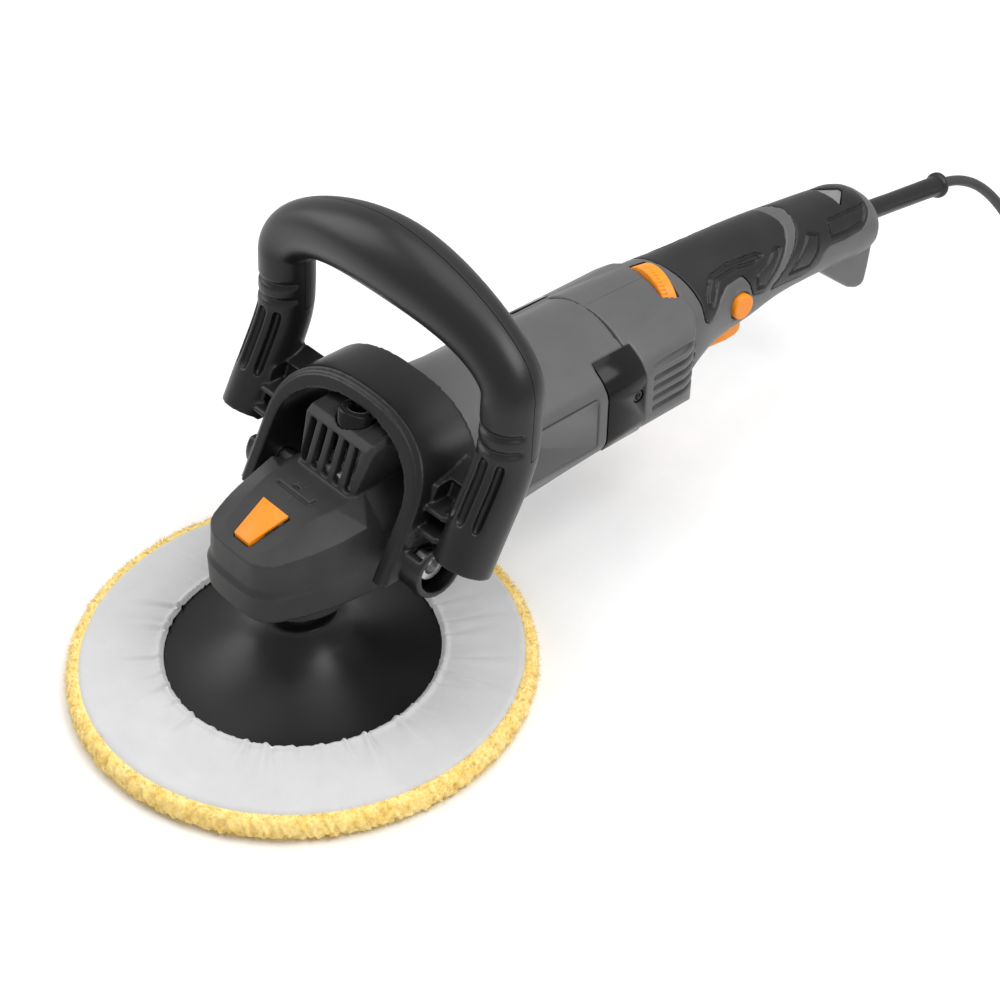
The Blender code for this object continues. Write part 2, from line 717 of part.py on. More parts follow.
def make_motor_housing(mats):
    """The grey tube round the motor, with a pod on each side that carries the panel and brush cover."""
    profile = [
        (33.0, MOTOR_REAR + 3.0),
        (MOTOR_R - 0.2, MOTOR_REAR + 3.0),
        (MOTOR_R, 150.0),
        (MOTOR_R + 1.4, 110.0),
        (MOTOR_R + 3.4, 84.0),
        (MOTOR_R + 4.0, 66.0),
        (MOTOR_R + 3.6, MOTOR_FRONT),
        (31.0, MOTOR_FRONT),
        (31.0, MOTOR_FRONT + 3.0),
        (33.0, MOTOR_FRONT + 3.4),
    ]
    middle = 110.0
    local = [(r, h - middle) for r, h in profile]
    at = (0, middle, BODY_Z)
    housing = turned("motor_housing", local, mats["grey"], at, AXIS_Y, ring=True, steps=36)
    for side, sign in (("right", 1), ("left", -1)):
        shape = pod(f"motor_pod_{side}", sign)
        boolean(housing, shape, "UNION")
    bore = rod("motor_bore", 33.0, 130.0, at=(0, 54.9, BODY_Z), turn=AXIS_Y, steps=36)
    boolean(housing, bore)
    rear = block("motor_rear_trim", (-60, MOTOR_REAR, 20), (60, 260, 140))
    boolean(housing, rear)
    for side, sign in (("right", 1), ("left", -1)):
        low = (sign * (POD_X - 1.6), 90.0, 71.6)
        high = (sign * (POD_X + 9), 141.0, 98.2)
        recess = block(f"panel_recess_{side}", low, high)
        boolean(housing, recess)
        window = window_cutter(f"cover_recess_{side}", sign)
        boolean(housing, window)
        low = (sign * (POD_X - 1.3), 90.3, 71.9)
        high = (sign * (POD_X - 0.4), 140.7, 97.9)
        block(f"side_panel_{side}", low, high, mats["panel"])


def make_brush_covers(mats):
    """The black covers over the brushes, each held by one screw, and the grilles behind them."""
    for side, sign in (("right", 1), ("left", -1)):
        section = [(sign * (x + 0.2), z) for x, z in POD_SECTION[2:7]]
        section += [(sign * 33.2, 66.8), (sign * 36.0, 71.4), (sign * 36.0, 96.4), (sign * 33.0, 100.6)]
        cover = slab(f"brush_cover_{side}", section, 40.0, mats["black"], "XZ", 160.0)
        front = block(f"brush_front_{side}", (-60, 40, 40), (60, 146.9, 140))
        boolean(cover, front)
        back = block(f"brush_back_{side}", (-60, 170.3, 40), (60, 260, 140))
        boolean(cover, back)
        at = (sign * 36.0 - 5.0, 165.4, 88.0)
        hole = rod(f"screw_hole_{side}", 3.3, 10.0, at=at, turn=AXIS_X, steps=20)
        boolean(cover, hole)
        at = (36.0 if sign > 0 else -37.8, 165.4, 88.0)
        rod(f"cover_screw_{side}", 3.0, 1.8, mats["steel"], at, AXIS_X, 20, edge=0.3)


def make_rear_housing(mats):
    """The two halves of the rear housing and grip, hollow, with the side bulges and the rear fin."""
    for side, sign in (("right", 1), ("left", -1)):
        half = body_skin(f"housing_half_{side}", 0.0, mats["grey"])
        bulge = pod(f"rear_bulge_{side}", sign)
        boolean(half, bulge, "UNION")
        fin = slab(f"fin_{side}", FIN, 26.0)
        add_bevel(fin, 3.2, 2, 50)
        boolean(half, fin, "UNION")
        for name, outline in (("front", FRONT_GRIP), ("rear", REAR_GRIP)):
            pocket = slab(f"{name}_pocket_{side}", outline, 90.0)
            core = body_skin(f"{name}_core_{side}", GRIP_SKIN)
            boolean(pocket, core)
            boolean(half, pocket)
        hollow = body_skin(f"housing_hollow_{side}", SHELL_WALL + 0.4, ahead=6.0, last=-2, under_grip=1.6)
        boolean(half, hollow)
        front = block(f"half_front_{side}", (-60, 60, 20), (60, 166.9, 140))
        boolean(half, front)
        other = block(f"half_other_{side}", (sign * -60, 60, 20), (sign * 0.15, 420, 140))
        boolean(half, other)
        window = window_cutter(f"half_window_{side}", sign)
        boolean(half, window)
        for number in range(5):
            z = 74.2 + number * 5.6
            slot = block(f"grille_cut_{side}_{number}", (sign * 25, 176.0, z), (sign * 60, 199.5, z + 3.0))
            boolean(half, slot)
        slot = block(f"trigger_slot_{side}", (-9.6, 226.0, 40.0), (9.6, 270.6, 80.0))
        boolean(half, slot)
        dial = rod(f"dial_slot_{side}", DIAL_R + 0.6, 9.2, at=dial_point(-4.6), turn=DIAL_TURN)
        boolean(half, dial)
        tilt = (math.radians(-97.5), 0, 0)
        exit_hole = rod(f"relief_hole_{side}", 6.0, 30.0, at=(0, 350.0, 87.0), turn=tilt, steps=24)
        boolean(half, exit_hole)
        led = slab(f"led_hole_{side}", LED_HOLE, 30.0, None, "XY", 110.0)
        boolean(half, led)
    right = bpy.data.objects["housing_half_right"]
    x, y, z = BUTTON_CENTRE
    collar = rod("button_collar", 8.6, 9.0, at=(x - 7.8, y, z), turn=AXIS_X, steps=28)
    boolean(right, collar, "UNION")
    hole = rod("button_hole", 6.9, 30.0, at=(x - 14.0, y, z), turn=AXIS_X, steps=26)
    boolean(right, hole)


def make_grips(mats):
    """Two rubber skins over the rear housing, with a slanting band of housing between them."""
    for name, outline in (("front_grip", FRONT_GRIP), ("rear_grip", REAR_GRIP)):
        first, last = (2, 10) if name == "front_grip" else (6, 12)
        skin = body_skin(name, 0.0, mats["rubber"], first, last)
        inner = body_skin(name + "_inner", GRIP_SKIN - GAP)
        boolean(skin, inner)
        keep = slab(name + "_outline", drawn_in(outline, GAP), 90.0)
        boolean(skin, keep, "INTERSECT")
        if name == "rear_grip":
            window = slab("grip_led_hole", LED_HOLE, 30.0, None, "XY", 110.0)
            boolean(skin, window)


def make_controls(mats, dial_axis, trigger_axis, button_axis):
    """Speed dial and its module, trigger with pin and spring, lock-on button, switch and power light."""
    rim = [(3.2, 4.0), (DIAL_R - 0.8, 4.0), (DIAL_R, 3.2), (DIAL_R, -3.2), (DIAL_R - 0.8, -4.0), (3.2, -4.0)]
    turned("speed_dial", rim, mats["orange"], DIAL_CENTRE, DIAL_TURN, ring=True, steps=36, parent=dial_axis)
    module = block("speed_module", (-12.0, 218.2, 88.0), (12.0, 234.0, 107.0), mats["black"], 1.0)
    shaft = rod("module_post", 2.9, 16.0, at=dial_point(-5.0), turn=DIAL_TURN, steps=16)
    boolean(module, shaft, "UNION")

    lever = (
        (227.4, 79.0),
        (229.0, 84.2),
        (234.2, 84.2),
        (236.4, 76.8),
        (262.0, 74.2),
        (267.6, 72.6),
        (268.2, 63.0),
        (265.4, 61.0),
        (258.0, 60.6),
        (240.0, 62.8),
        (230.6, 65.4),
        (227.2, 69.0),
    )
    shifted = [(y - TRIGGER_PIN[1], z - TRIGGER_PIN[2]) for y, z in lever]
    trigger = slab("trigger", shifted, 18.0, mats["orange"])
    trigger.location = Vector(TRIGGER_PIN) * MM
    attach(trigger, trigger_axis)
    hole = rod("trigger_bore", 1.9, 40.0, at=(-20, TRIGGER_PIN[1], TRIGGER_PIN[2]), turn=AXIS_X, steps=16)
    boolean(trigger, hole)
    rod("trigger_pin", 1.6, 24.0, mats["steel"], (-12.0, TRIGGER_PIN[1], TRIGGER_PIN[2]), AXIS_X, 16)
    block("switch_body", (-9.0, 239.6, 79.4), (9.0, 287.0, 100.0), mats["black"], 1.0)
    washer("trigger_spring", 3.4, 2.4, 2.9, mats["steel"], (0, 252.0, 76.2), steps=14, edge=0.2)

    button = [(0, 15.4), (5.6, 15.4), (6.4, 14.6), (6.4, 3.2), (7.2, 3.2), (7.2, 1.6), (0, 1.6)]
    at = (BUTTON_CENTRE[0] - 11.4, BUTTON_CENTRE[1], BUTTON_CENTRE[2])
    turned("lock_on_button", button, mats["orange"], at, AXIS_X, steps=28, parent=button_axis)

    outline = [(x * 0.93, 341.0 + (y - 341.0) * 0.93) for x, y in LED_PLAN]
    lens = slab("power_light", outline, 8.0, mats["clear"], "XY", 104.4)
    top = block("lens_trim", (-20, 320, 0), (20, 360, 20))
    top.location = Vector((0, 341.0, 117.4)) * MM
    top.rotation_euler = (math.radians(-8), 0, 0)
    boolean(lens, top)


def dial_point(distance):
    """The point that far along the dial's axis from its centre."""
    x, y, z = DIAL_CENTRE
    return x + distance * math.sin(DIAL_ANGLE), y + distance * math.cos(DIAL_ANGLE), z


def attach(obj, parent):
    obj.parent = parent
    obj.matrix_parent_inverse = Matrix.Translation(-Vector(parent.location))


def make_cord(mats):
    """Strain relief, cable clamp, the cord down to its coil, the coil and the plug."""
    tilt = (math.radians(-97.5), 0, 0)
    relief = [
        (CORD_R + GAP, 72.1),
        (6.4, 72.1),
        (6.9, 71.5),
        (6.9, 69.1),
        (5.5, 67.5),
        (5.4, -6.6),
        (8.0, -6.6),
        (8.0, -10.2),
        (5.4, -10.2),
        (5.4, -12.0),
        (CORD_R + GAP, -12.0),
    ]
    turned("strain_relief", relief, mats["black"], RELIEF_AT, tilt, ring=True, steps=18)
    block("cable_clamp", (-9.0, 343.6, 81.0), (9.0, 348.0, 94.0), mats["black"], 0.6)
    slot = rod("clamp_bore", CORD_R + 0.4, 20.0, at=(0, 336.0, 88.85), turn=tilt, steps=16)
    boolean(bpy.data.objects["cable_clamp"], slot)
    tube("power_cord", smooth_route(CORD_ROUTE), CORD_R, mats["cord"], resolution=2)
    ring = []
    for k in range(8):
        angle = k * math.pi / 4
        radius = COIL_MID_R + COIL_HALF_WIDTH * math.cos(angle)
        ring.append((radius, 0.2 + COIL_HALF_HEIGHT * (1 - math.sin(angle))))
    turned("cord_coil", ring, mats["cord"], (*COIL_CENTRE, 0.0), ring=True, steps=24)
    tube("cord_tail", smooth_route(TAIL_ROUTE), CORD_R, mats["cord"], resolution=2)
    body = [(0, 44.0), (8.0, 44.0), (17.5, 36.0), (18.6, 30.0), (18.6, 3.0), (17.6, 0.0), (0.0, 0.0)]
    plug = turned("plug", body, mats["black"], PLUG_AT, AXIS_Y, steps=18)
    for side in (-1, 1):
        at = (PLUG_AT[0] + side * 9.5, PLUG_AT[1] - 19.0, PLUG_AT[2])
        pin = rod(f"plug_pin_{side}", 2.4, 22.0, at=at, turn=AXIS_Y, steps=12)
        boolean(plug, pin, "UNION")


def smooth_route(stations):
    """A smooth curve through the stations, with one point added between each two."""
    stations = [Vector(p) for p in stations]
    route = []
    padded = [2 * stations[0] - stations[1]] + stations + [2 * stations[-1] - stations[-2]]
    for a, b, c, d in zip(padded, padded[1:], padded[2:], padded[3:]):
        route.append(b)
        route.append((9 * (b + c) - a - d) / 16)
    route.append(stations[-1])
    return route


def loop_centre(steps=16):
    """The loop's centre line from the right leg over the grip to the left leg, with its radius shares."""
    low, rise, lean = 159.6, 28.3, 0.165
    side = ((30.2, 87.6), (33.8, 94.0), (42.2, 109.0), (50.4, 123.6), (54.4, 134.0), (56.0, 146.0))
    leg = [(LOOP_X, y, z) for y, z in side]
    points = list(leg)
    shares = [1.0] * len(leg)
    for i in range(steps + 1):
        angle = math.pi * i / steps
        c = math.cos(angle)
        s = max(math.sin(angle), 0.0)
        x = LOOP_X * math.copysign(abs(c) ** (2 / 1.87), c)
        z = low + rise * s ** (2 / 1.87)
        y = 56.8 + lean * (z - low) - 2.6 * (1 - (x / LOOP_X) ** 2)
        points.append((x, y, z))
        shares.append(1.0 + (LOOP_TOP_R / LOOP_R - 1.0) * ((z - low) / rise) ** 4)
    points += [(-x, y, z) for x, y, z in reversed(leg)]
    shares += [1.0] * len(leg)
    return points, shares


def arch(half, top, spring=100.6, power=2.4, foot=60.0, count=14):
    """An arch outline in X and Z with straight legs below its spring line."""
    outline = [(half, foot)]
    for i in range(count + 1):
        angle = math.pi * i / count
        c = math.cos(angle)
        s = max(math.sin(angle), 0.0)
        x = half * math.copysign(abs(c) ** (2 / power), c)
        outline.append((x, spring + (top - spring) * s ** (2 / power)))
    outline.append((-half, foot))
    return outline


def make_d_handle(mats):
    """The bail handle: an arched collar, two bolt bosses, ribbed webs and the hand loop."""
    points, shares = loop_centre()
    frame = tube("d_handle", points, LOOP_R, mats["handle"], shares, 2)
    collar = slab("collar", arch(COLLAR_OUTER, 133.0), 80.0, plane="XZ", centre=40.0)
    front = block("collar_front", (-70, -60, -80), (70, 0, 80), at=(0, 0, 0))
    front.location = Vector((0, 22.4, 99.8)) * MM
    front.rotation_euler = (-LEAN, 0, 0)
    boolean(collar, front)
    rear = block("collar_rear", (-70, 0, -80), (70, 60, 80), at=(0, 0, 0))
    rear.location = Vector((0, 57.4, 100.0)) * MM
    rear.rotation_euler = (math.radians(-14), 0, 0)
    boolean(collar, rear)
    toe = block("collar_toe", (-70, -40, 30), (70, 100, 73.6))
    boolean(collar, toe)
    boolean(frame, collar, "UNION")
    for side, sign in (("right", 1), ("left", -1)):
        start, length = (42.2, 19.4) if sign > 0 else (-54.4, 12.2)
        boss = rod(f"boss_{side}", 12.4, length, at=(start, *BOLT_CENTRE), turn=AXIS_X, steps=24)
        boolean(frame, boss, "UNION")
        outline = [(22.0, 80.0), (36.0, 112.0), (56.0, 116.0), (46.0, 78.0)]
        web = slab(f"web_{side}", outline, 24.0, centre=sign * 57.0)
        boolean(frame, web, "UNION")
        outline = [(0.0, 88.0), (34.0, 88.0), (45.0, 113.0), (0.0, 113.0)]
        hollow = slab(f"web_hollow_{side}", outline, 9.4, centre=sign * 54.6)
        boolean(frame, hollow)
        for number, z in enumerate((95.0, 103.6)):
            front_y = z * 0.554 - 28.4
            outline = [(front_y, z), (46.0, z), (46.0, z + 2.2), (front_y + 1.2, z + 2.2)]
            rib = slab(f"rib_{side}_{number}", outline, 12.0, centre=sign * 54.6)
            boolean(frame, rib, "UNION")
    outline = arch(COLLAR_INNER, 126.2, power=2.2, foot=40.0)
    inner = slab("collar_inner", outline, 120.0, plane="XZ", centre=40.0)
    boolean(frame, inner)
    foot = block("collar_foot", (-41.9, -20, 20), (41.9, 100, 80))
    boolean(frame, foot)
    for side, sign in (("right", 1), ("left", -1)):
        at = (50.5 if sign > 0 else -76.7, *BOLT_CENTRE)
        pocket = rod(f"pocket_{side}", 9.6, 30.0, at=at, turn=AXIS_X, steps=24)
        boolean(frame, pocket)
        at = (30.0 if sign > 0 else -70.0, *BOLT_CENTRE)
        through = rod(f"bolt_hole_{side}", 4.4, 40.0, at=at, turn=AXIS_X, steps=20)
        boolean(frame, through)
        head = 50.8 if sign > 0 else 47.0
        shaft = [(0, 5.6), (6.4, 5.6), (6.8, 5.0), (6.8, 0.0), (4.0, 0.0), (4.0, -12.0), (0, -12.0)]
        turn = (0, sign * math.radians(90), 0)
        turned(f"handle_bolt_{side}", shaft, mats["steel"], (sign * head, *BOLT_CENTRE), turn, steps=20)
        for number, x in enumerate((-7.4, 0.0, 7.4)):
            slot = block(f"leg_slot_{side}_{number}", (-1.5, -4, -17.5), (1.5, 4, 17.5), at=(0, 0, 0))
            slot.location = Vector((sign * LOOP_X + x, 33.4 + abs(x) * 0.3, 119.2)) * MM
            slot.rotation_euler = (-LEAN, 0, 0)
            boolean(frame, slot)
        for number, z in enumerate((139.0, 146.6)):
            middle = sign * LOOP_X
            slot = block(f"leg_bar_{side}_{number}", (middle - 14, 30, z), (middle + 14, 45.2, z + 2.8))
            boolean(frame, slot)
    seam = slab("back_seam", SEAM, 200.0)
    boolean(frame, seam)
    back = tube("d_handle_back", points, LOOP_R, mats["handle_soft"], shares, 2)
    keep = slab("back_keep", [(y + (0.3 if y < 100 else 0.0), z + 0.3) for y, z in SEAM], 200.0)
    boolean(back, keep, "INTERSECT")


def main():
    for obj in list(bpy.data.objects):
        bpy.data.objects.remove(obj)
    bpy.context.scene.collection.children.link(parts)
    bpy.context.scene.collection.children.link(cutters)
    cutters.hide_render = True
    mats = {
        "steel": material("steel", (0.55, 0.55, 0.56), 0.3, 1.0),
        "gear_steel": material("gear_steel", (0.35, 0.34, 0.33), 0.4, 1.0),
        "aluminium": material("aluminium", (0.6, 0.6, 0.61), 0.45, 1.0),
        "zinc": material("zinc", (0.5, 0.5, 0.52), 0.4, 1.0),
        "brass": material("brass", (0.7, 0.5, 0.2), 0.35, 1.0),
        "copper": material("copper", (0.7, 0.35, 0.2), 0.4, 1.0),
        "laminations": material("laminations", (0.2, 0.2, 0.21), 0.5, 0.8),
        "carbon": material("carbon", (0.03, 0.03, 0.03), 0.6),
        "pad_rubber": material("pad_rubber", (0.02, 0.02, 0.022), 0.35),
        "foam": material("foam", (0.1, 0.1, 0.1), 0.9),
        "skirt": material("skirt", (0.8, 0.8, 0.8), 0.7),
        "wool": material("wool", (0.9, 0.72, 0.28), 0.9),
        "cover": material("cover", (0.045, 0.045, 0.048), 0.5),
        "black": material("black", (0.02, 0.02, 0.022), 0.35),
        "black_gloss": material("black_gloss", (0.03, 0.03, 0.032), 0.3),
        "orange": material("orange", (0.95, 0.36, 0.02), 0.4),
        "grey": material("grey", (0.16, 0.16, 0.17), 0.45),
        "panel": material("panel", (0.12, 0.12, 0.125), 0.4),
        "fan_plastic": material("fan_plastic", (0.05, 0.05, 0.05), 0.5),
        "rubber": material("rubber", (0.03, 0.03, 0.032), 0.6),
        "clear": material("clear", (0.7, 0.7, 0.7), 0.15),
        "handle": material("handle", (0.035, 0.035, 0.038), 0.4),
        "handle_soft": material("handle_soft", (0.03, 0.03, 0.032), 0.5),
        "cord": material("cord", (0.08, 0.08, 0.085), 0.5),
    }
    pad_axis = empty("pad_axis", (0, 0, 0))
    rotor_axis = empty("rotor_axis", (0, 0, BODY_Z))
    lock_axis = empty("lock_axis", (0, -17.0, 90.0))
    dial_axis = empty("dial_axis", DIAL_CENTRE)
    trigger_axis = empty("trigger_axis", TRIGGER_PIN)
    button_axis = empty("button_axis", BUTTON_CENTRE)
    bpy.context.view_layer.update()
    make_pad(mats, pad_axis)
    make_gear_head(mats)
    make_lock_button(mats, lock_axis)
    make_motor(mats, rotor_axis)
    make_motor_housing(mats)
    make_brush_covers(mats)
    make_rear_housing(mats)
    make_grips(mats)
    make_controls(mats, dial_axis, trigger_axis, button_axis)
    make_cord(mats)
    make_d_handle(mats)


main()
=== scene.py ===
"""The looks of the rotary polisher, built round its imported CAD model.

Frame: the spindle axis is Z, z = 0 is the wool's working face, +Y points to the rear handle, +X is the side
of the lock-on button. Shapes are made in millimetres and become metres when they are finished.
"""

import json
import math

import bmesh
import bpy
import numpy as np
from mathutils import Euler, Matrix, Vector


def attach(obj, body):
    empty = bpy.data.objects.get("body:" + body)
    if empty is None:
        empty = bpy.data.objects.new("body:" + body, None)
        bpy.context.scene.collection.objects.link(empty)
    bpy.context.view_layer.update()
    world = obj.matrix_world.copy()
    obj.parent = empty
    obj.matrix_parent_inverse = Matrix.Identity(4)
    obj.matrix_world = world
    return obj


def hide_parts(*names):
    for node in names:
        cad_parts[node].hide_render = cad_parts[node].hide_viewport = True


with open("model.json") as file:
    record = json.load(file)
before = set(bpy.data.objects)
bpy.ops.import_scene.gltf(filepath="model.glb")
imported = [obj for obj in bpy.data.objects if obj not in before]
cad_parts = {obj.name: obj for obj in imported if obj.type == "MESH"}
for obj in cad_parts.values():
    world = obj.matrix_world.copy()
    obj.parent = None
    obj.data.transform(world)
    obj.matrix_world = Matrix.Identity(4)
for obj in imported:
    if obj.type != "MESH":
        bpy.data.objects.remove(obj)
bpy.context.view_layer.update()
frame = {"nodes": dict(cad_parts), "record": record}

MM = 0.001

# Turns that lay a piece's own Z axis along the frame's Y or X
AXIS_Y = (math.radians(-90), 0, 0)
AXIS_X = (0, math.radians(90), 0)

# Places and sizes shared with the CAD model, in millimetres
BODY_Z = 80.8
HEAD_BOTTOM = 56
HEAD_TOP = 97.3
DIAL_CENTRE = (1.6, 210.2, 98.4)
DIAL_R = 20
DIAL_ANGLE = math.radians(13)
DIAL_TURN = (math.radians(-90), 0, -DIAL_ANGLE)
BUTTON_CENTRE = (23.4, 247.6, 93.6)
TRIGGER_PIN = (0, 231.5, 80)
LOOP_X = 71.5
LOOP_R = 12.5
LOOP_TOP_R = 16.4
LEAN = math.radians(29)
BOLT_CENTRE = (27, 79.5)
GRIP_SKIN = 2.2
CORD_R = 2.8
RELIEF_AT = (0, 363, 85.3)
COIL_CENTRE = (78, 545)
PLUG_AT = (168, 530, 19)
MOST_TRIANGLES = 180000
TILT = math.radians(-97.5)  # the strain relief points down and back


# ---------------------------------------------------------------- mesh tools


def link(name, mesh):
    obj = bpy.data.objects.new(name, mesh)
    bpy.context.scene.collection.objects.link(obj)
    return obj


def solid(name, verts, faces, outward=True):
    """A mesh object from points and faces, in millimetres."""
    mesh = bpy.data.meshes.new(name)
    mesh.from_pydata([tuple(v) for v in verts], [], faces)
    if outward:
        bm = bmesh.new()
        bm.from_mesh(mesh)
        bmesh.ops.recalc_face_normals(bm, faces=bm.faces)
        bm.to_mesh(mesh)
        bm.free()
    return link(name, mesh)


def moved(obj, at=(0, 0, 0), turn=(0, 0, 0)):
    """The object with its mesh turned about the origin and then moved."""
    obj.data.transform(Matrix.Translation(Vector(at)) @ Euler(turn).to_matrix().to_4x4())
    return obj


def lathe(name, profile, steps=96, at=(0, 0, 0), turn=(0, 0, 0), ring=False):
    """A turned solid from (radius, height) pairs. A ring's profile closes on itself."""
    verts, rows, faces = [], [], []
    for r, h in profile:
        if r < 1e-6:
            rows.append([len(verts)])
            verts.append((0, 0, h))
            continue
        rows.append(list(range(len(verts), len(verts) + steps)))
        for i in range(steps):
            a = 2 * math.pi * i / steps
            verts.append((r * math.cos(a), r * math.sin(a), h))
    pairs = list(zip(rows, rows[1:]))
    if ring:
        pairs.append((rows[-1], rows[0]))
    for a, b in pairs:
        for i in range(steps):
            j = (i + 1) % steps
            corners = [a[i % len(a)], a[j % len(a)], b[j % len(b)], b[i % len(b)]]
            face = list(dict.fromkeys(corners))
            if len(face) > 2:
                faces.append(face)
    return moved(solid(name, verts, faces), at, turn)


def rod(name, radius, length, at=(0, 0, 0), turn=(0, 0, 0), steps=64):
    return lathe(name, [(0, length), (radius, length), (radius, 0), (0, 0)], steps, at, turn)


PLANES = {
    "YZ": lambda u, v, t: (t, u, v),
    "XY": lambda u, v, t: (u, v, t),
    "XZ": lambda u, v, t: (u, t, v),
}


def prism(name, outline, low, high, plane="YZ"):
    """A flat outline in one plane, extruded from low to high along the third axis."""
    put = PLANES[plane]
    count = len(outline)
    verts = [put(u, v, low) for u, v in outline] + [put(u, v, high) for u, v in outline]
    faces = [tuple(range(count)), tuple(range(count, 2 * count))]
    for i in range(count):
        j = (i + 1) % count
        faces.append((i, j, count + j, count + i))
    return solid(name, verts, faces)


def box(name, low, high, at=(0, 0, 0), turn=(0, 0, 0)):
    (x0, y0, z0), (x1, y1, z1) = low, high
    x0, x1 = min(x0, x1), max(x0, x1)
    outline = [(x0, y0), (x1, y0), (x1, y1), (x0, y1)]
    return moved(prism(name, outline, z0, z1, "XY"), at, turn)


def rounded(outline, radius, steps=6, skip=()):
    """A closed outline with its corners rounded, but for those skipped by number."""
    points = []
    count = len(outline)
    for i, corner in enumerate(outline):
        p = Vector(corner)
        if i in skip:
            points.append(tuple(p))
            continue
        before = Vector(outline[i - 1]) - p
        after = Vector(outline[(i + 1) % count]) - p
        a = p + before.normalized() * min(radius, before.length * 0.46)
        b = p + after.normalized() * min(radius, after.length * 0.46)
        for k in range(steps + 1):
            t = k / steps
            points.append(tuple((1 - t) ** 2 * a + 2 * t * (1 - t) * p + t * t * b))
    return points


def drawn_in(outline, distance):
    """A closed outline moved inwards by a distance."""
    outline = list(outline)
    area = sum(a[0] * b[1] - b[0] * a[1] for a, b in zip(outline, outline[1:] + outline[:1]))
    side = math.copysign(distance, area)
    result = []
    for before, point, after in zip(outline[-1:] + outline[:-1], outline, outline[1:] + outline[:1]):
        first = Vector((point[0] - before[0], point[1] - before[1])).normalized()
        second = Vector((after[0] - point[0], after[1] - point[1])).normalized()
        normal = Vector((-first.y - second.y, first.x + second.x)).normalized()
        reach = side / max(normal.dot(Vector((-first.y, first.x))), 0.4)
        result.append((point[0] + normal.x * reach, point[1] + normal.y * reach))
    return result


def mirrored(half):
    """The whole outline from its +X half."""
    half = list(half)
    return half + [(-x, y) for x, y in reversed(half) if x > 1e-6]


def hermite(knots, values, at):
    """Smooth values between knots, for one number or several columns."""
    knots = np.asarray(knots, float)
    values = np.asarray(values, float)
    slopes = np.gradient(values, knots, axis=0)
    i = np.clip(np.searchsorted(knots, at) - 1, 0, len(knots) - 2)
    h = knots[i + 1] - knots[i]
    t = (at - knots[i]) / h
    one = (1 + 2 * t) * (1 - t) ** 2 * values[i] + t * t * (3 - 2 * t) * values[i + 1]
    return one + h * (t * (1 - t) ** 2 * slopes[i] - t * t * (1 - t) * slopes[i + 1])


def spline(points, per=6):
    """A smooth open curve through points, in any number of dimensions."""
    points = [np.asarray(p, float) for p in points]
    padded = [2 * points[0] - points[1]] + points + [2 * points[-1] - points[-2]]
    result = []
    for a, b, c, d in zip(padded, padded[1:], padded[2:], padded[3:]):
        for k in range(per):
            t = k / per
            result.append(
                0.5 * (2 * b + (c - a) * t + (2 * a - 5 * b + 4 * c - d) * t**2
                + (3 * b - a - 3 * c + d) * t**3)
            )
    result.append(points[-1])
    return result


def loft(name, rings):
    """A closed skin through rings of the same number of points, with flat ends."""
    count = len(rings[0])
    verts = [p for ring in rings for p in ring]
    faces = [tuple(range(count)), tuple(range(len(verts) - count, len(verts)))]
    for row in range(len(rings) - 1):
        for i in range(count):
            j = (i + 1) % count
            a, b = row * count, (row + 1) * count
            faces.append((a + i, a + j, b + j, b + i))
    return solid(name, verts, faces)


def tube(name, points, radii, sides=40, stretch=(1, 1)):
    """A round bar along points with a radius at each, and a share of it across two ways."""
    points = [Vector(p) for p in points]
    if not hasattr(radii, "__len__"):
        radii = [radii] * len(points)
    rings = []
    across = None
    for i, p in enumerate(points):
        along = (points[min(i + 1, len(points) - 1)] - points[max(i - 1, 0)]).normalized()
        if across is None:
            across = along.orthogonal()
        across = (across - along * across.dot(along)).normalized()
        other = along.cross(across)
        ring = []
        for k in range(sides):
            a = 2 * math.pi * k / sides
            ring.append(p + radii[i] * (math.cos(a) * stretch[0] * across + math.sin(a) * stretch[1] * other))
        rings.append(ring)
    return loft(name, rings)


def applied(obj):
    """The object with its modifiers applied."""
    graph = bpy.context.evaluated_depsgraph_get()
    mesh = bpy.data.meshes.new_from_object(obj.evaluated_get(graph))
    obj.modifiers.clear()
    old = obj.data
    obj.data = mesh
    bpy.data.meshes.remove(old)
    return obj


def csg(obj, other, operation="DIFFERENCE", keep=False):
    """The object cut by, joined with or kept inside another."""
    modifier = obj.modifiers.new("csg", "BOOLEAN")
    modifier.operation = operation
    modifier.object = other
    modifier.solver = "MANIFOLD"
    before = len(obj.data.vertices)
    applied(obj)
    if len(obj.data.vertices) == before and operation != "INTERSECT":
        print("csg left", obj.name, "unchanged by", other.name)
    if not keep:
        bpy.data.objects.remove(other)
    return obj


def cut(obj, *others):
    for other in others:
        csg(obj, other)
    return obj


def join(obj, *others):
    for other in others:
        csg(obj, other, "UNION")
    return obj


def soften(obj, voxel, rounds=5):
    """An even fine mesh of the solid, with its edges rounded as a mould leaves them."""
    remesh = obj.modifiers.new("remesh", "REMESH")
    remesh.mode = "VOXEL"
    remesh.voxel_size = voxel * 1
    smooth = obj.modifiers.new("smooth", "SMOOTH")
    smooth.factor = 0.5
    smooth.iterations = rounds
    applied(obj)
    triangles = 2 * len(obj.data.polygons)
    if triangles > MOST_TRIANGLES:
        fewer = obj.modifiers.new("fewer", "DECIMATE")
        fewer.ratio = MOST_TRIANGLES / triangles
        applied(obj)
    return obj


def bevelled(obj, width, segments=3, angle=30):
    bevel = obj.modifiers.new("edges", "BEVEL")
    bevel.width = width
    bevel.segments = segments
    bevel.limit_method = "ANGLE"
    bevel.angle_limit = math.radians(angle)
    bevel.harden_normals = True
    return applied(obj)


def copied(obj, name):
    return link(name, obj.data.copy())


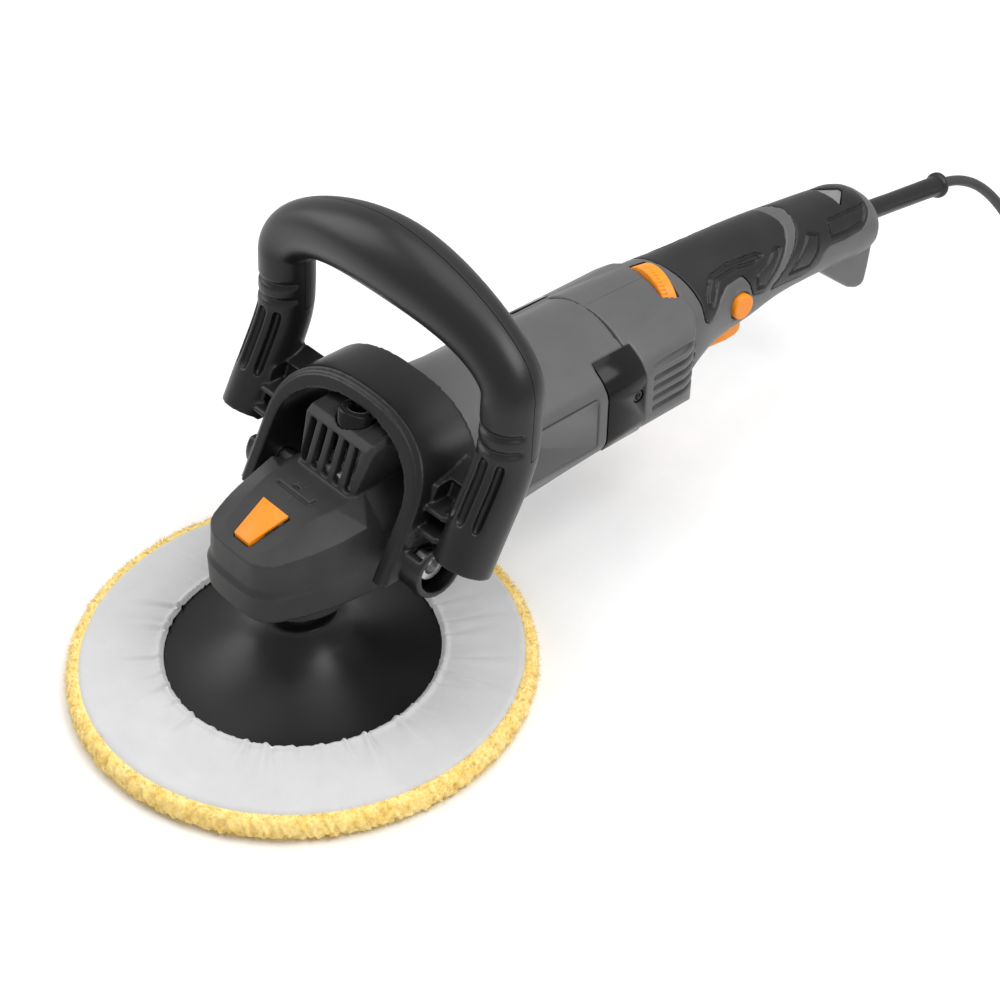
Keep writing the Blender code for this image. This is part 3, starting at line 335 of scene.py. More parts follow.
def done(obj, body, material, slot, *nodes, sharp=None):
    """Finish a piece: metres, shading, material, the body it rides on and the nodes it stands for."""
    obj.data.transform(Matrix.Scale(MM, 4))
    obj.data.materials.clear()
    obj.data.materials.append(material)
    obj.data.shade_smooth()
    if sharp:
        obj.data.set_sharp_from_angle(angle=math.radians(sharp))
    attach(obj, body)
    if nodes:
        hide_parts(*nodes)
    return obj


# ------------------------------------------------------------ camera, lights


def make_camera():
    azimuth, height, roll = (math.radians(a) for a in (47.19, 39.49, 0.75))
    back = Vector((math.sin(azimuth) * math.cos(height), -math.cos(azimuth) * math.cos(height),
        math.sin(height)))
    right = Vector((math.cos(azimuth), math.sin(azimuth), 0))
    up = back.cross(right)
    across = math.cos(roll) * right + math.sin(roll) * up
    upward = math.cos(roll) * up - math.sin(roll) * right
    data = bpy.data.cameras.new("camera")
    data.lens = 71.08
    data.sensor_width = 36
    data.clip_start = 0.01
    camera = link("camera", data)
    place = 0.08679 * across + 0.07312 * upward + 0.87782 * back
    camera.matrix_world = Matrix.Translation(place) @ Matrix((across, upward, back)).transposed().to_4x4()
    bpy.context.scene.camera = camera


def softbox(name, at, aim, size, power):
    data = bpy.data.lights.new(name, "AREA")
    data.shape = "RECTANGLE"
    data.size, data.size_y = size
    data.energy = power
    lamp = link(name, data)
    direction = Vector(aim) - Vector(at)
    lamp.matrix_world = Matrix.Translation(at) @ direction.to_track_quat("-Z", "Y").to_matrix().to_4x4()


def make_stage():
    """A flat pale floor, plain light all round and three softboxes."""
    scene = bpy.context.scene
    scene.view_settings.view_transform = "Standard"
    world = bpy.data.worlds.new("studio")
    world.use_nodes = True
    background = world.node_tree.nodes["Background"]
    background.inputs["Color"].default_value = (1, 1, 1, 1)
    background.inputs["Strength"].default_value = 0.62
    scene.world = world
    floor = prism("floor", [(-6000, -6000), (6000, -6000), (6000, 6000), (-6000, 6000)], -8, -0.02, "XY")
    floor.data.transform(Matrix.Scale(MM, 4))
    floor.data.materials.append(FLOOR)
    softbox("key", (0.75, 0.35, 1.15), (0, 0.12, 0.08), (0.9, 0.7), 11)
    softbox("fill", (-1, -0.35, 0.75), (0, 0.05, 0.05), (0.7, 0.9), 5)
    softbox("top", (-0.1, 0.25, 1.5), (0, 0.1, 0), (1.2, 1.2), 9)


# ---------------------------------------------------------------- materials


def graph(name):
    """A new material, its nodes and a function that links two sockets."""
    mat = bpy.data.materials.new(name)
    mat.use_nodes = True
    nodes = mat.node_tree.nodes
    shader = nodes["Principled BSDF"]

    def join_up(a, b):
        mat.node_tree.links.new(a, b)

    return mat, nodes, shader, join_up


def noise_node(nodes, join_up, coords, scale, detail=2, rough=0.5):
    node = nodes.new("ShaderNodeTexNoise")
    node.inputs["Scale"].default_value = scale
    node.inputs["Detail"].default_value = detail
    node.inputs["Roughness"].default_value = rough
    join_up(coords, node.inputs["Vector"])
    return node


def spread(nodes, join_up, value, low, high, out_low, out_high):
    node = nodes.new("ShaderNodeMapRange")
    for key, number in (("From Min", low), ("From Max", high), ("To Min", out_low), ("To Max", out_high)):
        node.inputs[key].default_value = number
    join_up(value, node.inputs["Value"])
    return node.outputs["Result"]


def tinted(nodes, join_up, factor, dark, light):
    node = nodes.new("ShaderNodeMix")
    node.data_type = "RGBA"
    node.inputs["A"].default_value = (*dark, 1)
    node.inputs["B"].default_value = (*light, 1)
    join_up(factor, node.inputs["Factor"])
    return node.outputs["Result"]


def bumped(nodes, join_up, shader, height, strength, depth):
    """Fine relief on the shader, depth in metres."""
    bump = nodes.new("ShaderNodeBump")
    bump.inputs["Strength"].default_value = strength
    bump.inputs["Distance"].default_value = depth
    join_up(height, bump.inputs["Height"])
    join_up(bump.outputs["Normal"], shader.inputs["Normal"])


def finish_of(name, colour, rough, grain=0.25, size=0.45, vary=0.10, metallic=0, edge=0, coat=0, swirl=1,
              sheen=0.36):
    """A moulded or metal surface: fine grain, faint cloudy colour, uneven gloss and paler edges, partly wear
    and partly a painted highlight.

    size is the grain's size in millimetres, and swirl stretches it along Y."""
    mat, nodes, shader, join_up = graph(name)
    coords = nodes.new("ShaderNodeTexCoord").outputs["Object"]
    if swirl != 1:
        mapping = nodes.new("ShaderNodeMapping")
        mapping.inputs["Scale"].default_value = (1, 1 / swirl, 1)
        join_up(coords, mapping.inputs["Vector"])
        coords = mapping.outputs["Vector"]
    fine = noise_node(nodes, join_up, coords, 1000 / size, 3, 0.6)
    cloud = noise_node(nodes, join_up, coords, 38, 4, 0.55)
    dark = tuple(c * (1 - vary) for c in colour)
    light = tuple(min(c * (1 + vary), 1) for c in colour)
    factor = spread(nodes, join_up, cloud.outputs["Fac"], 0.35, 0.65, 0, 1)
    shade = tinted(nodes, join_up, factor, dark, light)
    speck = spread(nodes, join_up, fine.outputs["Fac"], 0.3, 0.7, 1 - 0.6 * vary, 1 + 0.6 * vary)
    scaled = nodes.new("ShaderNodeVectorMath")
    scaled.operation = "SCALE"
    join_up(shade, scaled.inputs[0])
    join_up(speck, scaled.inputs["Scale"])
    shade = scaled.outputs["Vector"]
    # Paler colour where the mesh is pointy: partly edge wear, partly a painted highlight along the edges.
    if edge:
        geometry = nodes.new("ShaderNodeNewGeometry")
        wear_and_edge_highlight = spread(nodes, join_up, geometry.outputs["Pointiness"], 0.51, 0.60, 0, edge)
        mix = nodes.new("ShaderNodeMix")
        mix.data_type = "RGBA"
        mix.inputs["B"].default_value = (*(min(c * 2.2 + 0.03, 1) for c in colour), 1)
        join_up(wear_and_edge_highlight, mix.inputs["Factor"])
        join_up(shade, mix.inputs["A"])
        shade = mix.outputs["Result"]
    join_up(shade, shader.inputs["Base Color"])
    gloss = spread(nodes, join_up, fine.outputs["Fac"], 0.3, 0.7, rough * 0.9, min(rough * 1.12, 1))
    join_up(gloss, shader.inputs["Roughness"])
    bumped(nodes, join_up, shader, fine.outputs["Fac"], grain, 0.00012)
    shader.inputs["Metallic"].default_value = metallic
    shader.inputs["Specular IOR Level"].default_value = 0.5 if metallic else sheen
    shader.inputs["Coat Weight"].default_value = coat
    shader.inputs["Coat Roughness"].default_value = 0.12
    return mat


def cloth_of(name, colour, pitch=0.55):
    """A closely woven cloth: crossed threads, soft creases of shade and a faint sheen."""
    mat, nodes, shader, join_up = graph(name)
    coords = nodes.new("ShaderNodeTexCoord").outputs["Object"]
    threads = []
    for direction in ("X", "Y"):
        wave = nodes.new("ShaderNodeTexWave")
        wave.bands_direction = direction
        wave.inputs["Scale"].default_value = 1000 / pitch / 20
        wave.inputs["Distortion"].default_value = 1.2
        wave.inputs["Detail"].default_value = 1
        join_up(coords, wave.inputs["Vector"])
        threads.append(wave.outputs["Fac"])
    weave = nodes.new("ShaderNodeMath")
    weave.operation = "MULTIPLY"
    join_up(threads[0], weave.inputs[0])
    join_up(threads[1], weave.inputs[1])
    cloud = noise_node(nodes, join_up, coords, 60, 4, 0.6)
    factor = spread(nodes, join_up, cloud.outputs["Fac"], 0.3, 0.7, 0, 1)
    dark = tuple(c * 0.93 for c in colour)
    shade = tinted(nodes, join_up, factor, dark, colour)
    join_up(shade, shader.inputs["Base Color"])
    bumped(nodes, join_up, shader, weave.outputs["Value"], 0.22, 0.00015)
    shader.inputs["Roughness"].default_value = 0.82
    shader.inputs["Sheen Weight"].default_value = 0.25
    shader.inputs["Sheen Roughness"].default_value = 0.5
    return mat


def wool_of(name, dark, light):
    """Dyed wool: fibres of uneven colour with a soft sheen."""
    mat, nodes, shader, join_up = graph(name)
    coords = nodes.new("ShaderNodeTexCoord").outputs["Object"]
    fibre = noise_node(nodes, join_up, coords, 900, 3, 0.7)
    tuft = noise_node(nodes, join_up, coords, 170, 3, 0.6)
    both = nodes.new("ShaderNodeMath")
    both.operation = "ADD"
    join_up(fibre.outputs["Fac"], both.inputs[0])
    join_up(tuft.outputs["Fac"], both.inputs[1])
    factor = spread(nodes, join_up, both.outputs["Value"], 0.75, 1.25, 0, 1)
    shade = tinted(nodes, join_up, factor, dark, light)
    join_up(shade, shader.inputs["Base Color"])
    bumped(nodes, join_up, shader, fibre.outputs["Fac"], 0.6, 0.0006)
    shader.inputs["Roughness"].default_value = 0.9
    shader.inputs["Sheen Weight"].default_value = 0.3
    return mat


def clear_of(name):
    """Clear moulded plastic over a bright backing, with faint flow marks."""
    mat, nodes, shader, join_up = graph(name)
    coords = nodes.new("ShaderNodeTexCoord").outputs["Object"]
    flow = noise_node(nodes, join_up, coords, 300, 2, 0.5)
    shade = tinted(nodes, join_up, flow.outputs["Fac"], (0.30, 0.305, 0.31), (0.46, 0.465, 0.47))
    join_up(shade, shader.inputs["Base Color"])
    bumped(nodes, join_up, shader, flow.outputs["Fac"], 0.1, 0.0002)
    shader.inputs["Roughness"].default_value = 0.08
    shader.inputs["Transmission Weight"].default_value = 0.55
    shader.inputs["IOR"].default_value = 1.49
    return mat


FLOOR = finish_of("pale_floor", (0.86, 0.86, 0.86), 0.6, grain=0.05, size=3, vary=0.012)
MATS = {
    "steel": finish_of("steel", (0.56, 0.56, 0.57), 0.3, 0.15, 0.3, 0.06, metallic=1, swirl=6),
    "gear_steel": finish_of("gear_steel", (0.30, 0.29, 0.28), 0.38, 0.3, 0.5, 0.15, metallic=1),
    "spring_steel": finish_of("spring_steel", (0.42, 0.42, 0.43), 0.28, 0.1, 0.3, 0.06, metallic=1),
    "aluminium": finish_of("cast_aluminium", (0.58, 0.58, 0.59), 0.46, 0.5, 0.8, 0.08, metallic=1, edge=0.5),
    "zinc": finish_of("zinc", (0.5, 0.5, 0.52), 0.4, 0.3, 0.6, 0.08, metallic=1),
    "brass": finish_of("brass", (0.68, 0.49, 0.2), 0.34, 0.2, 0.4, 0.1, metallic=1),
    "copper": finish_of("enamelled_copper", (0.62, 0.29, 0.15), 0.36, 0.6, 0.7, 0.2, metallic=1, swirl=0.2),
    "laminations": finish_of("laminations", (0.2, 0.2, 0.21), 0.5, 0.7, 0.5, 0.12, metallic=0.8, swirl=0.1),
    "carbon": finish_of("carbon", (0.03, 0.03, 0.03), 0.6, 0.5, 0.5, 0.2),
    "pad_rubber": finish_of("pad_rubber", (0.006, 0.006, 0.0062), 0.34, 0.10, 0.6, 0.10, sheen=0.3),
    "foam": finish_of("hook_facing", (0.06, 0.06, 0.06), 0.9, 0.9, 0.8, 0.2),
    "skirt": cloth_of("bonnet_cloth", (0.55, 0.55, 0.553)),
    "drawstring": finish_of("drawstring", (0.74, 0.74, 0.74), 0.8, 0.8, 0.5, 0.08, swirl=0.4),
    "wool": wool_of("yellow_wool", (0.84, 0.56, 0.11), (0.99, 0.80, 0.33)),
    "cover": finish_of("cover_plastic", (0.019, 0.019, 0.0195), 0.46, 0.55, 0.42, 0.28, edge=0.3),
    "black": finish_of("black_plastic", (0.012, 0.012, 0.0125), 0.34, 0.12, 0.5, 0.12, edge=0.3),
    "black_gloss": finish_of("gloss_black", (0.006, 0.006, 0.0062), 0.2, 0.06, 0.5, 0.12, edge=0.1, coat=0,
    sheen=0.16),
    "orange": finish_of("orange_plastic", (0.80, 0.235, 0.005), 0.4, 0.15, 0.5, 0.06, edge=0.15),
    "grey": finish_of("grey_plastic", (0.088, 0.088, 0.0905), 0.42, 0.22, 0.4, 0.05, edge=0.2),
    "panel": finish_of("panel_film", (0.078, 0.078, 0.08), 0.34, 0.08, 0.5, 0.05),
    "fan_plastic": finish_of("fan_plastic", (0.04, 0.04, 0.04), 0.5, 0.2, 0.6, 0.1),
    "rubber": finish_of("grip_rubber", (0.0095, 0.0095, 0.0098), 0.4, 0.5, 0.38, 0.22),
    "clear": clear_of("clear_lens"),
    "handle": finish_of("handle_plastic", (0.0085, 0.0085, 0.0088), 0.34, 0.16, 0.4, 0.12, edge=0.25),
    "handle_soft": finish_of("handle_soft_rubber", (0.0095, 0.0095, 0.0098), 0.42, 0.22, 0.4, 0.12),
    "dark_plate": finish_of("blackened_steel", (0.045, 0.045, 0.047), 0.42, 0.2, 0.4, 0.1, metallic=0.6),
    "cord": finish_of("cord_rubber", (0.045, 0.045, 0.046), 0.48, 0.25, 0.5, 0.14),
}


def dress_nodes():
    """Every CAD node takes its slot's finish."""
    for row in frame["record"]["subparts"]:
        mesh = frame["nodes"][row["node"]].data
        mesh.materials.clear()
        mesh.materials.append(MATS[row["material_slot"]])


# --------------------------------------------------------------------- cord

CORD_ROUTE = (
    (0, 434.8, 75.9), (0, 448, 73.6), (3, 466, 66), (9, 482, 50), (16, 495, 29.5),
    (23, 507, 12.6), (29.6, 519, 4.8), (35.2, 530, 2.9),
)
TAIL_ROUTE = (
    (68.9, 569.9, 25.9), (85, 575.8, 25.9), (101, 581.8, 24), (118, 590, 16.5),
    (134, 596.6, 12), (150, 597.4, 13), (162, 591, 17), (167.6, 580, 19),
    (168, 574.4, 19),
)
# The coil's winding: angle travelled in degrees, radius and height of the turn's centre
LAYER, COLUMN = 5.7, 5.75
OUTER, MIDDLE, INNER = 38, 38 - COLUMN, 38 - 2 * COLUMN
WINDING = (
    (0, OUTER, 0), (270, OUTER, 0), (330, OUTER, 1), (630, OUTER, 1), (690, OUTER, 2), (990, OUTER, 2),
    (1050, OUTER, 3), (1260, OUTER, 3), (1350, MIDDLE, 3), (1550, MIDDLE, 3), (1620, MIDDLE, 2),
    (1910, MIDDLE, 2), (1980, MIDDLE, 1), (2270, MIDDLE, 1), (2340, MIDDLE, 0), (2510, MIDDLE, 0),
    (2630, INNER, 0), (2780, INNER, 0), (2870, INNER, 1), (3140, INNER, 1), (3230, INNER, 2),
    (3500, INNER, 2), (3590, INNER, 3), (3610, INNER, 3), (3670, INNER, 4),
)


def winding_point(angle):
    """The coil's centreline at an angle travelled clockwise from its -X side."""
    for (a0, r0, n0), (a1, r1, n1) in zip(WINDING, WINDING[1:]):
        if angle <= a1:
            break
    t = (angle - a0) / (a1 - a0)
    t = t * t * (3 - 2 * t)
    r = r0 + (r1 - r0) * t
    z = 2.9 + LAYER * (n0 + (n1 - n0) * t)
    a = math.radians(180 - angle)
    return COIL_CENTRE[0] + r * math.cos(a), COIL_CENTRE[1] + r * math.sin(a), z


def make_cord():
    lead_in = [(0, 412, 78.9)] + list(CORD_ROUTE) + [winding_point(3)]
    coil = [winding_point(a) for a in range(8, 3671, 6)]
    points = spline(lead_in, 8)[:-1] + coil + spline(TAIL_ROUTE, 6)
    points = [Vector(p) for p in points]
    relaxed = list(points)
    for _ in range(30):
        relaxed[1:-1] = [(a + 2 * b + c) / 4 for a, b, c in zip(relaxed, relaxed[1:], relaxed[2:])]
    curve = bpy.data.curves.new("power_lead", "CURVE")
    curve.dimensions = "3D"
    curve.bevel_depth = CORD_R * MM
    curve.bevel_resolution = 5
    curve.use_fill_caps = True
    line = curve.splines.new("POLY")
    line.points.add(len(relaxed) - 1)
    for point, place in zip(line.points, relaxed):
        point.co = (*(place * MM), 1)
    line.use_smooth = True
    curve.materials.append(MATS["cord"])
    lead = link("power_lead", curve)
    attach(lead, "machine")
    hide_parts("power_cord", "cord_coil", "cord_tail")


# ---------------------------------------------------------- pad and bonnet


def make_pad():
    cone = [(15, 35.2), (16.4, 34.3), (17.4, 32), (20.2, 28), (24.8, 23.7), (32.5, 19.1), (44, 14.8)]
    cone += [(58, 11.8), (74, 10.7), (89.4, 10.3)]
    profile = [(10.9, 35.2)] + [tuple(p) for p in spline(cone, 5)]
    profile += [(90, 9.9), (90, 8.6), (2, 8.6), (2, 13.7), (24.3, 13.7), (24.3, 15.6), (13.3, 27.2),
        (10.9, 30)]
    pad = lathe("pad_cone", profile, 192, ring=True)
    done(pad, "pad_group", MATS["pad_rubber"], "pad_rubber", "backing_pad", sharp=50)

    shaft = [(0, 88.4), (5, 88.4), (5, 74), (7.4, 74), (7.4, 46), (8.8, 46), (8.8, 42.9), (9.2, 42.6)]
    shaft += [(11.9, 42.6), (12.2, 42.3), (12.2, 38.7), (11.9, 38.4), (7, 38.4)]
    for k in range(9):
        shaft += [(7, 37.9 - k * 1.75), (6.3, 37 - k * 1.75)]
    shaft += [(6.6, 22.4), (6, 22), (0, 22)]
    spindle = lathe("spindle_shaft", shaft, 96)
    for side in (-1, 1):
        cut(spindle, box("flat", (side * 9.6, -20, 38), (side * 20, 20, 43)))
    done(spindle, "pad_group", MATS["gear_steel"], "steel", "spindle", sharp=35)


def pleats(rng, count):
    """Random pleats round the hem: angle, width, depth, length and slant."""
    rows = []
    for k in range(count):
        angle = 2 * math.pi * (k + rng.uniform(-0.4, 0.4)) / count
        long_one = rng.random() < 0.3
        length = rng.uniform(20, 36) if long_one else rng.uniform(6, 16)
        rows.append((angle, rng.uniform(0.016, 0.04), rng.uniform(0.6, 1.5), length,
            rng.uniform(-0.07, 0.07)))
    return rows


def make_skirt():
    """The bonnet's cloth: gathered at its hem round the pad and sewn to the wool at its rim."""
    rng = np.random.default_rng(11)
    around = 840
    radii = np.concatenate([np.linspace(61, 66.6, 15), np.linspace(67.6, 95.2, 30), np.linspace(96, 98.6, 7)])
    theta = np.linspace(0, 2 * math.pi, around, endpoint=False)
    r, a = np.meshgrid(radii, theta, indexing="ij")
    share = np.clip((r - 61) / 37, 0, 1)
    z = 11.9 + 1.3 * np.sin(np.pi * share) ** 0.8 * (1 - 0.25 * share)
    hem = np.exp(-((r - 63.1) / 1.35) ** 2)
    z += 1.35 * hem
    z -= 1.6 * np.clip((r - 95.5) / 3.1, 0, 1) ** 2
    for k in range(1, 9):
        amount = 0.22 / k**0.6
        wave = np.sin(k * 3 * a + rng.uniform(0, 6.28) + (r - 61) * rng.uniform(-0.05, 0.05))
        z += amount * wave * np.sin(np.pi * share) ** 0.7
    for angle, width, depth, length, slant in pleats(rng, 34):
        centre = angle + slant * (r - 61) / 30
        off = (a - centre + math.pi) % (2 * math.pi) - math.pi
        reach = np.exp(-(((r - 61) / length) ** 2))
        spread_out = width * (0.7 + (r - 61) / 30)
        u = off / spread_out
        z += depth * reach * (np.exp(-(u**2)) - 0.75 * np.exp(-((u - 1.25) ** 2) * 2.2))
    gathers = np.zeros_like(z)
    for k in (53, 71, 97, 131, 163):
        gathers += np.sin(k * a + rng.uniform(0, 6.28)) / 3
    z += 0.2 * gathers * np.exp(-((r - 61) / 4.5) ** 2)
    z += 0.12 * gathers * np.exp(-((r - 97.5) / 2) ** 2)
    z = np.maximum(z, 10.9 - 1.2 * share)
    verts = np.stack([r * np.cos(a), r * np.sin(a), z], -1).reshape(-1, 3)
    faces = []
    for i in range(len(radii) - 1):
        for j in range(around):
            k = (j + 1) % around
            faces.append((i * around + j, i * around + k, (i + 1) * around + k, (i + 1) * around + j))
    skirt = solid("bonnet_cloth", verts, faces)
    thick = skirt.modifiers.new("thick", "SOLIDIFY")
    thick.thickness = 0.5
    thick.offset = -1
    applied(skirt)
    done(skirt, "pad_group", MATS["skirt"], "skirt", "bonnet_skirt")
    string_path = [(62.9 * math.cos(t), 62.9 * math.sin(t),
        12.35 + 0.12 * math.sin(9 * t)) for t in theta[::4]]
    string = tube("hem_string", string_path + string_path[:1], 0.62, 10)
    done(string, "pad_group", MATS["drawstring"], "drawstring", "hem_drawstring")


RIM = [(98, 11), (100, 11), (101.8, 10), (103, 8), (103.5, 5.4), (102.9, 2.6), (101.2, 0.9), (98.6, 0.25)]


def make_wool():
    """The wool disc: a lumpy pile with thousands of fibres standing out of its rim."""
    rng = np.random.default_rng(5)
    rim = [tuple(p) for p in spline(RIM, 5)]
    profile = [(0, 5.6), (97.6, 5.6), (97.6, 10.4)] + rim + [(60, 0.1), (0, 0.1)]
    steps = 720
    wool = lathe("wool_body", profile, steps)
    co = np.array([v.co for v in wool.data.vertices])
    radius = np.hypot(co[:, 0], co[:, 1])
    angle = np.arctan2(co[:, 1], co[:, 0])
    lump = np.zeros(len(co))
    for k in range(26):
        n = int(rng.integers(20, 260))
        lump += np.sin(n * angle + co[:, 2] * rng.uniform(-1.2, 1.2) + rng.uniform(0,
            6.28)) * rng.uniform(0.05, 0.16)
    on_rim = np.clip((radius - 98.2) / 2.5, 0, 1)
    grow = 1 + lump * on_rim / np.maximum(radius, 1)
    co[:, 0] *= grow
    co[:, 1] *= grow
    co[:, 2] += 0.35 * lump * on_rim * (co[:, 2] > 6)
    wool.data.vertices.foreach_set("co", co.ravel())
    done(wool, "pad_group", MATS["wool"], "wool", "wool_pile")

    path = np.array(spline(RIM, 12))
    steps_along = np.hypot(*np.diff(path, axis=0).T)
    at = np.concatenate([[0], np.cumsum(steps_along)])
    count = 15000
    s = rng.uniform(0.02, 0.97, count) ** 0.85 * at[-1]
    base = np.stack([np.interp(s, at, path[:, 0]), np.interp(s, at, path[:, 1])], -1)
    near = np.stack([np.interp(s + 0.05, at, path[:, 0]), np.interp(s + 0.05, at, path[:, 1])], -1)
    along = (near - base) / np.maximum(np.linalg.norm(near - base, axis=1, keepdims=True), 1e-6)
    out_r, out_z = -along[:, 1], along[:, 0]
    turn = rng.uniform(0, 2 * math.pi, count)
    radial = np.stack([np.cos(turn), np.sin(turn), np.zeros(count)], -1)
    tangent = np.stack([-np.sin(turn), np.cos(turn), np.zeros(count)], -1)
    up = np.array([0, 0, 1])
    root = radial * (base[:, :1] - 0.4) + up * base[:, 1:]
    out = radial * out_r[:, None] + up * out_z[:, None]
    lean = tangent * rng.normal(0, 0.75, (count, 1)) + out + up * rng.normal(0, 0.3, (count, 1))
    lean += radial * rng.normal(0, 0.2, (count, 1))
    lean /= np.linalg.norm(lean, axis=1, keepdims=True)
    bend = tangent * rng.normal(0, 0.6, (count, 1)) + up * rng.normal(-0.1, 0.5, (count, 1))
    long = rng.gamma(5, 0.3, (count, 1)) + 0.4
    middle = root + lean * long * 0.55
    tip = root + (lean + bend * 0.5) * long
    for points in (middle, tip):
        points[:, 2] = np.maximum(points[:, 2], 0.15)
    side = np.cross(lean, bend)
    side /= np.maximum(np.linalg.norm(side, axis=1, keepdims=True), 1e-6)
    other = np.cross(lean, side)
    thick = rng.uniform(0.06, 0.12, (count, 1))
    rows = []
    for centre, share in ((root, 1), (middle, 0.8)):
        for k in range(3):
            c, d = math.cos(2.0944 * k), math.sin(2.0944 * k)
            rows.append(centre + thick * share * (c * side + d * other))
    rows.append(tip)
    verts = np.stack(rows, 1).reshape(-1, 3)
    pattern = [(0, 1, 4, 3), (1, 2, 5, 4), (2, 0, 3, 5), (3, 4, 6), (4, 5, 6), (5, 3, 6), (2, 1, 0)]
    faces = [tuple(7 * i + k for k in face) for i in range(count) for face in pattern]
    fibres = solid("wool_fibres", verts, faces, outward=False)
    done(fibres, "pad_group", MATS["wool"], "wool")


# ------------------------------------------------------------ bail handle

SEAM = ((55.4, 134.6), (56.6, 159.6), (58.8, 176), (60.2, 240), (120, 240), (120, 134.6))
LEG = ((30.2, 87.6), (33.8, 94), (42.2, 109), (50.4, 123.6), (54.4, 134), (56, 146))


def loop_centre():
    """The loop's centre line from the right leg over the grip to the left leg, and its radius along it."""
    low, rise = 159.6, 28.3
    leg = [tuple(p) for p in spline([(y, z) for y, z in LEG], 4)]
    points = [(LOOP_X, y, z) for y, z in leg]
    radii = [LOOP_R] * len(leg)
    steps = 72
    for i in range(steps + 1):
        angle = math.pi * i / steps
        c, s = math.cos(angle), max(math.sin(angle), 0)
        x = LOOP_X * math.copysign(abs(c) ** (2 / 1.87), c)
        z = low + rise * s ** (2 / 1.87)
        points.append((x, 56.8 + 0.165 * (z - low) - 2.6 * (1 - (x / LOOP_X) ** 2), z))
        radii.append(LOOP_R + (LOOP_TOP_R - LOOP_R) * ((z - low) / rise) ** 4)
    points += [(-x, y, z) for x, y, z in reversed(points[: len(leg)])]
    return points, radii + [LOOP_R] * len(leg)


def arch(half, top, spring=100.6, power=2.4, foot=60, count=56):
    outline = [(half, foot)]
    for i in range(count + 1):
        angle = math.pi * i / count
        c, s = math.cos(angle), max(math.sin(angle), 0)
        x = half * math.copysign(abs(c) ** (2 / power), c)
        outline.append((x, spring + (top - spring) * s ** (2 / power)))
    outline.append((-half, foot))
    return outline


def leg_groove(name, sign, across):
    """A long groove down the front of a leg, following its curve."""
    path = []
    for y, z in spline([(y, z) for y, z in LEG], 6):
        if 101.5 <= z <= 133:
            path.append((y, z))
    out = []
    for i, (y, z) in enumerate(path):
        y1, z1 = path[min(i + 1, len(path) - 1)]
        y0, z0 = path[max(i - 1, 0)]
        along = Vector((y1 - y0, z1 - z0)).normalized()
        front = Vector((-along.y, along.x))
        reach = math.sqrt(max(LOOP_R**2 - across**2, 1))
        out.append((sign * LOOP_X + across, y + front.x * reach, z + front.y * reach))
    return tube(name, out, [1.2] + [1.9] * (len(out) - 2) + [1.2], 16, (1, 1.7))


def leg_ring(name, sign, z):
    """A short groove wrapped round the front of a leg."""
    y = float(np.interp(z, [p[1] for p in LEG] + [159.6], [p[0] for p in LEG] + [56.8]))
    path = []
    for k in range(25):
        a = math.radians(-90 - 74 + 148 * k / 24)
        path.append((sign * LOOP_X + LOOP_R * math.cos(a), y + LOOP_R * math.sin(a), z))
    radii = [0.8, 1.3] + [1.5] * 21 + [1.3, 0.8]
    return tube(name, path, radii, 14)


